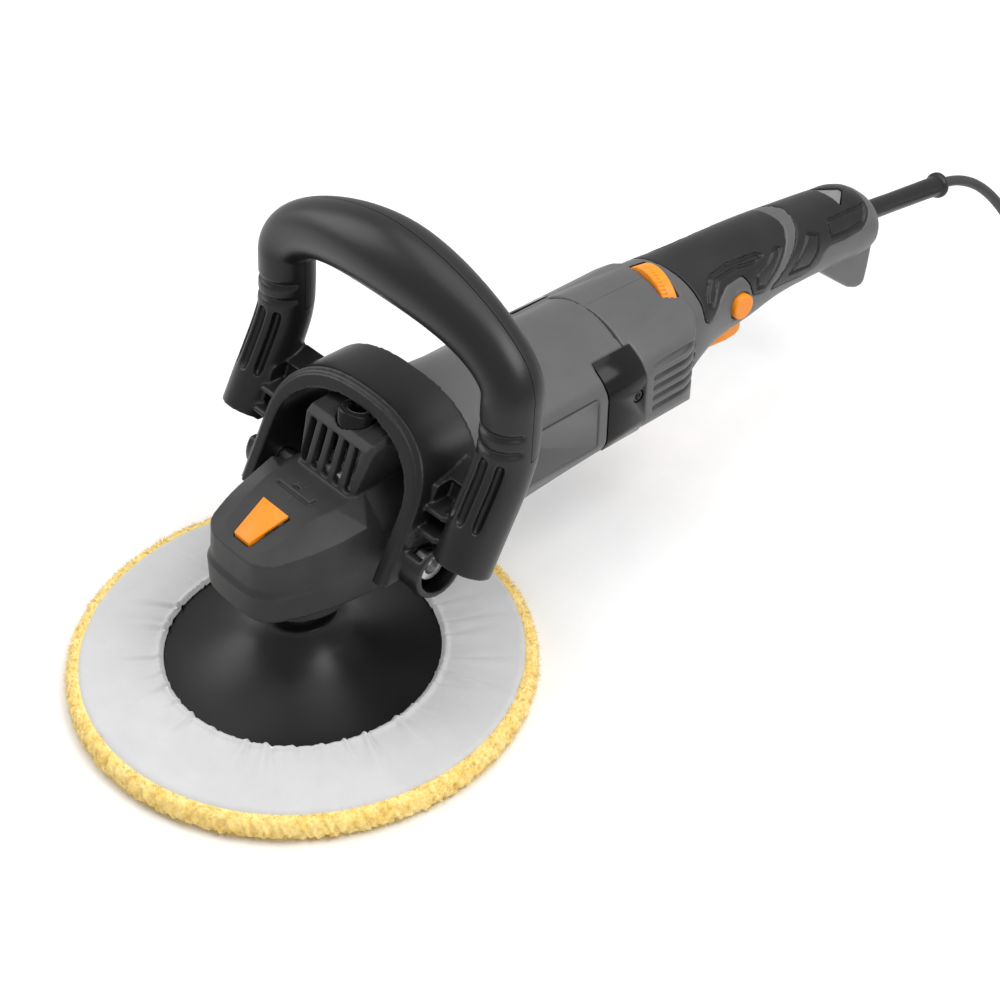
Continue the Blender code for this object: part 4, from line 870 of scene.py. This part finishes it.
def make_d_handle():
    points, radii = loop_centre()
    frame_part = tube("handle_frame", points, radii, 64)
    collar = prism("collar", arch(49.4, 133), 0, 80, "XZ")
    lip = prism("lip", arch(47.4, 131), -40, 80, "XZ")
    cut(collar, box("front", (-70, -90, -90), (70, 0, 90), (0, 22.4, 99.8), (-LEAN, 0, 0)))
    cut(lip, box("front", (-70, -90, -90), (70, 0, 90), (0, 20.9, 99.8), (-LEAN, 0, 0)))
    cut(lip, box("front", (-70, 5, -90), (70, 190, 90), (0, 20.9, 99.8), (-LEAN, 0, 0)))
    join(collar, lip)
    cut(collar, box("rear", (-70, 0, -90), (70, 90, 90), (0, 57.4, 100), (math.radians(-14), 0, 0)))
    cut(collar, box("toe", (-70, -60, 20), (70, 100, 73.6)))
    join(frame_part, collar)
    for sign in (1, -1):
        start, length = (42.2, 19.4) if sign > 0 else (-54.4, 12.2)
        join(frame_part, rod("boss", 12.4, length, (start, *BOLT_CENTRE), AXIS_X))
        web = prism("web", [(22, 80), (36, 112), (56, 116), (46, 78)], sign * 57 - 12, sign * 57 + 12)
        join(frame_part, web)
        low, high = sign * 54.6 - 4.7, sign * 54.6 + 4.7
        hollow = rounded([(0, 88), (34, 88), (45, 113), (0, 113)], 3)
        cut(frame_part, prism("hollow", hollow, low, high))
        for z in (95, 103.6):
            front_y = z * 0.554 - 28.4
            outline = [(front_y, z), (46, z), (46, z + 2.2), (front_y + 1.2, z + 2.2)]
            join(frame_part, prism("rib", outline, low - 1.3, high + 1.3))
    cut(frame_part, prism("inner", arch(41.8, 126.2, power=2.2, foot=40), -20, 100, "XZ"))
    cut(frame_part, box("foot", (-41.9, -20, 20), (41.9, 100, 80)))
    for sign in (1, -1):
        cut(frame_part, rod("pocket", 9.6, 30, (50.5 if sign > 0 else -76.7, *BOLT_CENTRE), AXIS_X))
        cut(frame_part, rod("bolt_hole", 4.4, 40, (30 if sign > 0 else -70, *BOLT_CENTRE), AXIS_X))
        for across in (-7.4, 0, 7.4):
            cut(frame_part, leg_groove("groove", sign, across))
        for z in (140.4, 148):
            cut(frame_part, leg_ring("ring", sign, z))
    soften(frame_part, 0.62, 6)
    back = copied(frame_part, "handle_back")
    shell = prism("seam", [(y, z) for y, z in SEAM], -120, 120)
    cut(frame_part, shell)
    inner = prism("keep", [(y + (0.34 if y < 100 else 0), z + 0.34) for y, z in SEAM], -120, 120)
    csg(back, inner, "INTERSECT")
    done(frame_part, "machine", MATS["handle"], "handle", "d_handle", sharp=50)
    done(back, "machine", MATS["handle_soft"], "handle_soft", "d_handle_back", sharp=50)
    for side, sign in (("right", 1), ("left", -1)):
        head = 50.8 if sign > 0 else 47
        shaft = [(0, 1.6), (2.9, 1.6), (3.3, 2), (3.3, 5), (3.7, 5.6), (6.2, 5.6), (6.8, 5), (6.8, 0.4),
            (6.4, 0)]
        shaft += [(4, 0), (4, -11.6), (3.6, -12), (0, -12)]
        bolt = lathe(f"handle_screw_{side}", shaft, 48, (sign * head, *BOLT_CENTRE),
            (0, sign * math.radians(90), 0))
        done(bolt, "machine", MATS["steel"], "steel", f"handle_bolt_{side}", sharp=35)


# --------------------------------------------------------------- gear head

# Half outlines of the cover's levels, from the middle of the nose to the rear: x, y, z
LOWER = ((0, -35.6), (9, -35.3), (15.9, -33.9), (21.3, -30.1), (25.3, -22.7), (29, -12.5), (31.9, -1),
    (33.9, 13.5),
         (34.4, 22), (34.6, 49))
WAIST = ((0, -34), (8.8, -33.7), (15, -32.4), (20.4, -28.8), (24.5, -21.6), (28.2, -11.9), (31.2, -0.6),
         (33.6, 13.5), (34.4, 22), (34.6, 49))
SHOULDER = ((0, -32.4, 86), (8.4, -32.2, 86), (14.6, -31.2, 86.2), (20.8, -27.2, 87), (24.4, -19.8, 88),
            (27.8, -9.8, 89), (30.4, 2, 90.2), (32, 13.5, 92.3), (32.6, 21.5, 86.2), (33.4, 49, 84))
CREST = ((0, -28, 88), (6, -27.8, 88), (10.6, -26.6, 88.5), (14, -22.6, 90), (15.6, -16, 92.3),
    (16.6, -8, 94.9),
         (17.8, 0, 96.7), (18.8, 8, 97.2), (18.6, 23, 97.3), (18.6, 49, 97.3))


def level(half, z=None):
    """A closed ring from a half outline, smooth round the nose and straight past its side corner."""
    rows = [(*p, z) if z is not None else p for p in half]
    right = [tuple(p) for p in spline(rows[:8], 8)] + list(rows[8:])
    left = [(-x, y, h) for x, y, h in reversed(right[1:])]
    return right + left


def make_head_cover():
    inset = [(x * 0.93, y + 2.6 if y < 40 else y) for x, y in LOWER]
    levels = [level(inset, HEAD_BOTTOM), level(LOWER, 58.8), level(LOWER, 71)]
    levels += [level(WAIST, 74), level(SHOULDER), level(CREST)]
    for share in (0.6, 0.25, 0.02):
        levels.append([(x * share, y, z) for x, y, z in levels[5]])
    cover = loft("head_shell", levels)
    foot = HEAD_TOP - 4
    vent = prism("vent", [(13.6, foot), (15.8, HEAD_TOP), (24.2, 118), (27.6, 120.2), (56, 121.6),
        (60, foot)], -24, 24)
    taper = prism("taper", [(-16.6, 90), (16.6, 90), (22.8, 122), (-22.8, 122)], -5, 85, "XZ")
    csg(vent, taper, "INTERSECT")
    bevelled(vent, 2.4, 1, 60)
    join(cover, vent)
    cut(cover, box("rear", (-60, 49, 50), (60, 70, 140)))
    case = ((0, -29.6), (14.6, -27.8), (21.6, -21.6), (28.6, -4), (30.6, 14), (30.6, 48.4))
    crown = ((0, -19), (12, -18), (19, -12), (25, 4), (26.4, 16), (26.4, 60))
    cut(cover, prism("hollow", mirrored([(x * 1.006, y * 1.01) for x, y in case]), 41.7, 81.7, "XY"))
    cut(cover, box("hollow_rear", (-30.9, 40, 41.7), (30.9, 60, 81.7)))
    cut(cover, prism("hollow_top", mirrored([(x * 1.02, y * 1.02) for x, y in crown]), 67, 87, "XY"))
    cut(cover, rod("tower", 12.8, 19, (0, 0, 72)))
    cut(cover, rod("boss", 13, 20, (0, 8.4, BODY_Z), AXIS_Y))
    cut(cover, rod("neck", 21.4, 36, (0, 19, BODY_Z), AXIS_Y))
    cut(cover, prism("duct", [(18.6, 94), (27, 115.8), (60, 118), (60, 94)], -14, 14))
    for index in range(5):
        x = (index - 2) * 7.2
        slot = prism("slot", rounded([(-2, -9.6), (2, -9.6), (2, 10.4), (-2, 10.4)], 0.8, 3), -9, 12, "XZ")
        cut(cover, moved(slot, (x, 20.4, 107.6), (math.radians(-22), 0, 0)))
    for index in range(6):
        x = (index - 2.5) * 7
        cut(cover, box("top_line", (x - 0.45, 26, 119.2), (x + 0.45, 60, 125), (0, 0, 0.9)))
    cut(cover, rod("socket_seat", 8.7, 30, (0, 32.84, 108), (math.radians(-12), 0, 0)))
    # The lock key's well
    well = [(-9, -8.2), (9, -8.2), (5.4, -27.2), (-5.4, -27.2)]
    cut(cover, prism("well", rounded(well, 1, 3), 83.2, 120, "XY"))
    # A corner bracket and a tick, the mark that shows which way the lock works
    for low, high in (((-12.3, 1.2), (9.2, 2.3)), ((8.1, 1.2), (9.2, 5.6)), ((-5.4, 4.5), (-4.3, 7.4)),
                      ((-5.4, 4.5), (-1.4, 5.5))):
        cut(cover, box("mark", (*low, 95.7), (*high, 99)))
    cut(cover, rod("pin_hole", 2.6, 20, (0, -23.2, 74)))
    soften(cover, 0.46, 3)
    done(cover, "machine", MATS["cover"], "cover", "head_cover")

    socket = [(4.3, 3.4), (4.5, 3.6), (7.4, 3.6), (8.3, 2.8), (8.3, -8.4), (4.3, -8.4)]
    ring = lathe("side_handle_socket", socket, 72, (0, 35.6, 121), (math.radians(-12), 0, 0), ring=True)
    done(ring, "machine", MATS["black_gloss"], "black_gloss", "handle_socket", sharp=50)

    side = [(-8.6, 96.1), (-8.6, 94.6), (-19.6, 91), (-19.6, 86.9), (-26.8, 86.9), (-26.8, 89.6)]
    key = prism("lock_key", side, -15, 15)
    top = prism("key_plan", rounded([(-8.5, -8), (8.5, -8), (4.9, -27), (-4.9, -27)], 0.8, 3), 70, 110, "XY")
    csg(key, top, "INTERSECT")
    bevelled(key, 0.45, 3, 25)
    done(key, "spindle_lock", MATS["orange"], "orange", "lock_button", sharp=40)

    plate = [(17.9, 60.2), (27.9, 60.2), (27.9, 57.2), (27.5, 56.8), (24.4, 56.6), (24.4, 48.8), (24, 48.3)]
    plate += [(21.2, 45.6), (20.6, 45.2), (9.4, 45.2), (9.4, 47.6), (17.9, 47.6)]
    bearing = lathe("bearing_cap", plate, 120, ring=True)
    done(bearing, "machine", MATS["dark_plate"], "aluminium", "bearing_plate", sharp=35)


# ---------------------------------------------------- motor and rear housing

MOTOR_REAR = 166.6
POD_X = 38.2
POD_PLAN = ((0, 82), (36, 82), (39.1, 86.2), (39.1, 190), (38, 197), (36.6, 201.6), (34.2, 205.8),
            (31, 209.2), (26, 212), (0, 212))
POD_SECTION = ((10, 112.5), (17, 112.2), (26, 108.4), (34, 102.6), (38.2, 96.6), (38.2, 71),
               (34.6, 64.6), (24, 57), (10, 57))
# Sections of the rear body: Y, half width, lowest and highest Z
REAR_SECTIONS = ((163, 36.3, 44.9, 117.1), (188, 34.6, 47.6, 116.4), (203, 32.6, 53.5, 115.9),
                 (217, 30.7, 65, 115.5), (229, 27.8, 68.6, 115.6), (242, 25.3, 69.4, 116.2),
                 (262, 23.4, 70.2, 116), (284, 21.4, 72.5, 114.9), (312, 20.2, 72, 111.8),
                 (336, 19.6, 70.2, 108.8), (352, 19.2, 68.9, 106), (358.4, 18, 69, 103),
                 (361.6, 16.4, 70.6, 99.6), (363, 14, 73, 96.6))
UNDER_RUBBER = (216, 360)
FIN = ((318, 84), (318, 77), (325, 72.5), (333, 66), (342, 58.6), (350, 52.4), (355.5, 49.8),
       (359.6, 49.6), (362.4, 52), (363.8, 62), (364.6, 76), (363.4, 84))
FRONT_GRIP = ((219.4, 125), (219.4, 106), (218, 99.8), (220.4, 97.2), (225, 97.4), (229.6, 99.8),
              (232.6, 102.8), (239.6, 106.2), (251.8, 106.2), (255.2, 101.6), (257.4, 94), (267.2, 91.6),
              (277.8, 98.6), (286.8, 107), (293, 112.4), (296.4, 125))
REAR_GRIP = ((270.6, 90.4), (283, 97.6), (294.2, 106.4), (300.2, 111.2), (305.4, 114), (305.4, 125),
             (356, 125), (354.4, 104), (352.6, 98.6), (344.8, 93.4), (331.8, 93.2), (319, 94.8),
             (313.8, 92.4), (309.4, 87.6), (298, 86))
# Sunken fields in the rubber, as side outlines
FRONT_FIELDS = (
    ((222.6, 103.8), (226.6, 101.6), (236, 109.2), (250, 109.4), (262, 107.6), (270.6, 108.6), (266, 111.2),
     (246, 112.8), (233, 112.2), (226, 108.8)),
    ((261, 103.6), (259.6, 96.4), (266.4, 94.6), (275.6, 100.8), (284, 107.8), (278, 109.4), (270, 105.6)),
)
REAR_FIELDS = (
    ((285, 92.4), (303, 89.6), (309, 95.6), (311.6, 104), (303.6, 107), (294, 99.4)),
    ((318.6, 98.4), (333, 96.6), (345.6, 96.8), (350, 100.4), (351.4, 103.2), (334, 105), (320, 106.4)),
)
LED_PLAN = ((-9.6, 335.6), (9.6, 335.6), (1.4, 346.8), (-1.4, 346.8))


def body_rings(inset, under_grip=0, first=0, last=None, ahead=0):
    """Rounded sections of the rear body, drawn in by an inset, as smooth along it as across."""
    rows = np.array(REAR_SECTIONS[first:last])
    knots = rows[:, 0]
    stations = []
    for a, b in zip(knots, knots[1:]):
        count = max(2, int((b - a) / 2.2))
        stations += list(np.linspace(a, b, count, endpoint=False))
    stations.append(knots[-1])
    rings = []
    for y in stations:
        half, low, high = hermite(knots, rows[:, 1:], y)
        more = 0
        if under_grip and UNDER_RUBBER[0] < y < UNDER_RUBBER[1]:
            more = under_grip
        d = inset + more
        centre, height = (low + high) / 2, (high - low) / 2 - d
        ring = []
        for i in range(72):
            a = 2 * math.pi * i / 72
            c, s = math.cos(a), math.sin(a)
            x = (half - d) * math.copysign(abs(c) ** (2 / 2.2), c)
            ring.append((x, y, centre + height * math.copysign(abs(s) ** (2 / 2.2), s)))
        rings.append(ring)
    if ahead:
        rings.insert(0, [(x, y - ahead, z) for x, y, z in rings[0]])
    return rings


def body_skin(name, inset, **more):
    return loft(name, body_rings(inset, **more))


def pod(name, side):
    section = rounded(POD_SECTION, 2.4, 4)
    piece = prism(name, [(side * x, z) for x, z in section], 60, 220, "XZ")
    keep = prism("plan", [(side * x, y) for x, y in rounded(POD_PLAN, 3, 4, skip=(0, 9))], 20, 150, "XY")
    return csg(piece, keep, "INTERSECT")


def window_cutter(side):
    half = ((26, 120), (60, 120), (60, 50), (34.8, 64.2), (32.8, 66.5), (35.7, 71.6), (35.7, 96.2),
            (32.7, 100.4), (25.4, 108))
    return prism("window", [(side * x, z) for x, z in half], 146.5, 170.7, "XZ")


def make_motor_housing():
    rear = MOTOR_REAR + 3
    wall = [(33, rear), (36.2, rear), (36.4, 150), (37, 128), (37.9, 108), (39.2, 90), (40.1, 76)]
    wall += [(40.4, 66), (40.3, 57), (39.8, 53), (39, 52), (31, 52), (31, 55), (33, 55.4)]
    housing = lathe("motor_shell", wall, 160, (0, 0, BODY_Z), AXIS_Y, ring=True)
    for sign in (1, -1):
        join(housing, pod("pod", sign))
    cut(housing, rod("bore", 33, 130, (0, 54.9, BODY_Z), AXIS_Y, 150))
    cut(housing, box("rear", (-60, MOTOR_REAR, 20), (60, 260, 140)))
    for sign in (1, -1):
        outline = rounded([(90, 71.6), (141, 71.6), (141, 98.2), (90, 98.2)], 2, 5)
        span = sorted((sign * (POD_X - 1.6), sign * 50))
        cut(housing, prism("panel_recess", outline, *span))
        cut(housing, window_cutter(sign))
    soften(housing, 0.68, 3)
    done(housing, "machine", MATS["grey"], "grey", "motor_housing")
    for side, sign in (("right", 1), ("left", -1)):
        outline = rounded([(90.35, 71.95), (140.65, 71.95), (140.65, 97.85), (90.35, 97.85)], 1.8, 6)
        span = sorted((sign * (POD_X - 1.3), sign * (POD_X - 0.4)))
        panel = bevelled(prism(f"side_plate_{side}", outline, *span), 0.3, 2, 50)
        done(panel, "machine", MATS["panel"], "panel", f"side_panel_{side}", sharp=40)


def make_brush_covers():
    for side, sign in (("right", 1), ("left", -1)):
        section = rounded([(sign * (x + 0.2), z) for x, z in POD_SECTION[2:7]], 2.4, 4, skip=(0, 4))
        section += [(sign * 33.2, 66.8), (sign * 36, 71.4), (sign * 36, 96.4), (sign * 33, 100.6)]
        cover = prism(f"brush_cap_{side}", section, 146.9, 170.3, "XZ")
        cut(cover, rod("hole", 3.3, 10, (sign * 36 - 5, 165.4, 88), AXIS_X))
        bevelled(cover, 0.7, 3, 32)
        done(cover, "machine", MATS["black_gloss"], "black", f"brush_cover_{side}", sharp=40)
        head = [(0, 0.9), (1.5, 0.9), (1.6, 1), (1.8, 1.8), (2.6, 1.8), (3, 1.3), (3, 0), (0, 0)]
        screw = lathe(f"cap_screw_{side}", head, 40, (sign * 36, 165.4, 88), (0, sign * math.radians(90), 0))
        cut(screw, box("slot", (sign * 35, 165, 85.6), (sign * 40, 165.8, 90.4)))
        done(screw, "machine", MATS["dark_plate"], "steel", f"cover_screw_{side}", sharp=35)


def dial_point(distance):
    """The point that far along the dial's axis from its centre."""
    x, y, z = DIAL_CENTRE
    return x + distance * math.sin(DIAL_ANGLE), y + distance * math.cos(DIAL_ANGLE), z


def make_rear_housing():
    """The rear housing as one moulding, then parted along the middle."""
    shell = body_skin("rear_shell", 0)
    for sign in (1, -1):
        join(shell, pod("bulge", sign))
    join(shell, bevelled(prism("fin", FIN, -13, 13), 3.2, 3, 50))
    for outline in (FRONT_GRIP, REAR_GRIP):
        pocket = prism("pocket", rounded(outline, 1.4, 3), -45, 45)
        cut(pocket, body_skin("core", GRIP_SKIN))
        cut(shell, pocket)
    cut(shell, body_skin("hollow", 3, ahead=6, last=-2, under_grip=1.6))
    cut(shell, box("front", (-60, 60, 20), (60, MOTOR_REAR + 0.3, 140)))
    for sign in (1, -1):
        cut(shell, window_cutter(sign))
        for number in range(5):
            low = 74.2 + number * 5.6
            inner = [(x - 3.2, min(y, 209 - 0.8 * number)) for x, y in POD_PLAN[3:8]]
            outline = [(36, 175.6), (60, 175.6), (60, 209.5), (inner[-1][0], 209.5)]
            outline += [(x, y) for x, y in reversed(inner[1:])]
            cut(shell, prism("louvre", [(sign * x, y) for x, y in outline], low, low + 3, "XY"))
    cut(shell, box("trigger_slot", (-9.6, 226, 40), (9.6, 270.6, 80)))
    cut(shell, rod("dial_slot", DIAL_R + 0.6, 9.2, dial_point(-4.6), DIAL_TURN, 120))
    cut(shell, rod("relief_hole", 6, 30, (0, 350, 87), (TILT, 0, 0)))
    lamp = [(x * 1.06, y) for x, y in LED_PLAN]
    cut(shell, prism("lamp_hole", lamp, 95, 125, "XY"))
    x, y, z = BUTTON_CENTRE
    join(shell, rod("collar", 8.6, 9, (x - 7.8, y, z), AXIS_X))
    cut(shell, rod("button_hole", 6.9, 30, (x - 14, y, z), AXIS_X))
    soften(shell, 0.62, 3)
    for side, sign in (("right", 1), ("left", -1)):
        half = copied(shell, f"rear_half_{side}")
        span = sorted((sign * 0.1, sign * 70))
        csg(half, box("side", (span[0], 100, 0), (span[1], 420, 160)), "INTERSECT")
        done(half, "machine", MATS["grey"], "grey", f"housing_half_{side}", sharp=60)
    bpy.data.objects.remove(shell)


def make_grips():
    """Two rubber skins with sunken fields, over the rear housing."""
    for name, outline, fields in (("front_grip", FRONT_GRIP, FRONT_FIELDS),
        ("rear_grip", REAR_GRIP, REAR_FIELDS)):
        skin = body_skin(name + "_skin", 0)
        if name == "front_grip":
            outline = rounded(outline, 1.2, 3)
        keep = prism("keep", drawn_in(rounded(list(outline), 1.2, 2), 0.4), -45, 45)
        csg(skin, keep, "INTERSECT")
        cut(skin, body_skin("inner", GRIP_SKIN - 0.3))
        for field in fields:
            shape = rounded(list(field), 1.6, 4)
            groove = prism("field", shape, -45, 45)
            cut(groove, prism("middle", drawn_in(list(field), 1.5), -50, 50))
            cut(groove, body_skin("depth", 1.2))
            cut(skin, groove)
        if name == "rear_grip":
            cut(skin, prism("lamp_hole", [(x * 1.06, y) for x, y in LED_PLAN], 95, 125, "XY"))
        soften(skin, 0.55, 2)
        done(skin, "machine", MATS["rubber"], "rubber", name)


def make_controls():
    rim = [(3.2, 4), (19, 4), (19.6, 3.7), (20, 3.2), (20, -3.2), (19.6, -3.7), (19, -4), (3.2, -4)]
    dial = lathe("dial_wheel", rim, 180, ring=True)
    teeth = 60
    for k in range(teeth):
        a = 2 * math.pi * k / teeth
        if 11 <= k <= 19:
            continue
        at = (20.15 * math.cos(a), 20.15 * math.sin(a), -3.9)
        cut(dial, rod("nick", 0.55, 3.2, at, steps=10))
    # A plain digit, cut into the rim's gap between the serrations
    for low, high in (((-1, 19.7, 0.2), (1, 21, 0.7)), ((0.5, 19.7, 0.2), (1, 21, 1.8)),
                      ((-1, 19.7, 1.5), (1, 21, 2)), ((-1, 19.7, 1.6), (-0.5, 21, 3)),
                      ((-1, 19.7, 2.7), (1, 21, 3.2))):
        cut(dial, box("stroke", low, high))
    moved(dial, DIAL_CENTRE, DIAL_TURN)
    done(dial, "dial", MATS["orange"], "orange", "speed_dial", sharp=35)

    lever = [(227.4, 79), (229, 84.2), (234.2, 84.2), (236.4, 76.8), (262, 74.2), (267.6, 72.6), (268.2, 63),
             (265.4, 61), (258, 60.6), (240, 62.8), (230.6, 65.4), (227.2, 69)]
    trigger = prism("trigger_blade", rounded(lever, 1.6, 4), -9, 9)
    cut(trigger, rod("bore", 1.9, 40, (-20, TRIGGER_PIN[1], TRIGGER_PIN[2]), AXIS_X))
    bevelled(trigger, 0.8, 3, 50)
    done(trigger, "trigger_lever", MATS["orange"], "orange", "trigger", sharp=40)

    button = [(0, 15.1), (3.6, 15.25), (5, 15.4), (5.8, 15.2), (6.2, 14.9), (6.4, 14.4), (6.4, 3.2),
        (7.2, 3.2)]
    button += [(7.2, 1.6), (0, 1.6)]
    at = (BUTTON_CENTRE[0] - 11.4, BUTTON_CENTRE[1], BUTTON_CENTRE[2])
    knob = lathe("lock_on_cap", button, 96, at, AXIS_X)
    done(knob, "lock_on", MATS["orange"], "orange", "lock_on_button", sharp=40)

    lamp = [(x * 0.93, 341 + (y - 341) * 0.93) for x, y in LED_PLAN]
    lens = prism("light_lens", rounded(lamp, 0.5, 3), 100.4, 108.4, "XY")
    for sign in (1, -1):
        slope = (math.radians(-8), sign * math.radians(9), 0)
        cut(lens, box("facet", (-20, -30, 0), (20, 30, 12), (0, 341, 107.4), slope))
    done(lens, "machine", MATS["clear"], "clear", "power_light", sharp=20)

    relief = [(CORD_R + 0.3, 72.1), (5.4, 72.1), (6.4, 71.8), (6.9, 71), (6.9, 69.6), (6.5, 68.6),
        (5.6, 67.9)]
    relief += [(5.3, 66), (5.15, 30), (5.4, -6.6), (8, -6.6), (8, -10.2), (5.4, -10.2), (5.4, -12)]
    relief += [(CORD_R + 0.3, -12)]
    tilt = (TILT, 0, 0)
    boot = lathe("cord_boot", relief, 72, RELIEF_AT, tilt, ring=True)
    done(boot, "machine", MATS["black"], "black", "strain_relief", sharp=40)

    body = [(0, 44), (5.6, 44), (7.2, 43.4), (8, 42), (9.4, 40.4), (13.8, 38.6), (16.6, 36.6), (17.8, 33.6)]
    body += [(18.6, 30), (18.6, 3), (18.3, 1.2), (17.6, 0.3), (16.6, 0), (0, 0)]
    plug = lathe("plug_body", body, 96)
    for k in range(7):
        a = math.radians(-90 + (k - 3) * 9)
        for half in (0, math.pi):
            at = (19 * math.cos(a + half), 19 * math.sin(a + half), 8)
            cut(plug, rod("finger_line", 0.8, 20, at, steps=12))
    moved(plug, PLUG_AT, AXIS_Y)
    done(plug, "machine", MATS["black"], "black", "plug", sharp=40)
    pin = [(0, 22), (2.4, 22), (2.4, 1.2), (2, 0.4), (1.2, 0), (0, 0)]
    pins = lathe("plug_pins", pin, 40, (PLUG_AT[0] - 9.5, PLUG_AT[1] - 19, PLUG_AT[2]), AXIS_Y)
    join(pins, lathe("pin", pin, 40, (PLUG_AT[0] + 9.5, PLUG_AT[1] - 19, PLUG_AT[2]), AXIS_Y))
    done(pins, "machine", MATS["steel"], "steel", sharp=35)


# --------------------------------------------------------------------- scene

PARTS = (make_pad, make_skirt, make_wool, make_d_handle, make_head_cover, make_motor_housing,
         make_brush_covers, make_rear_housing, make_grips, make_controls, make_cord)

make_camera()
make_stage()
dress_nodes()
for make in PARTS:
    make()
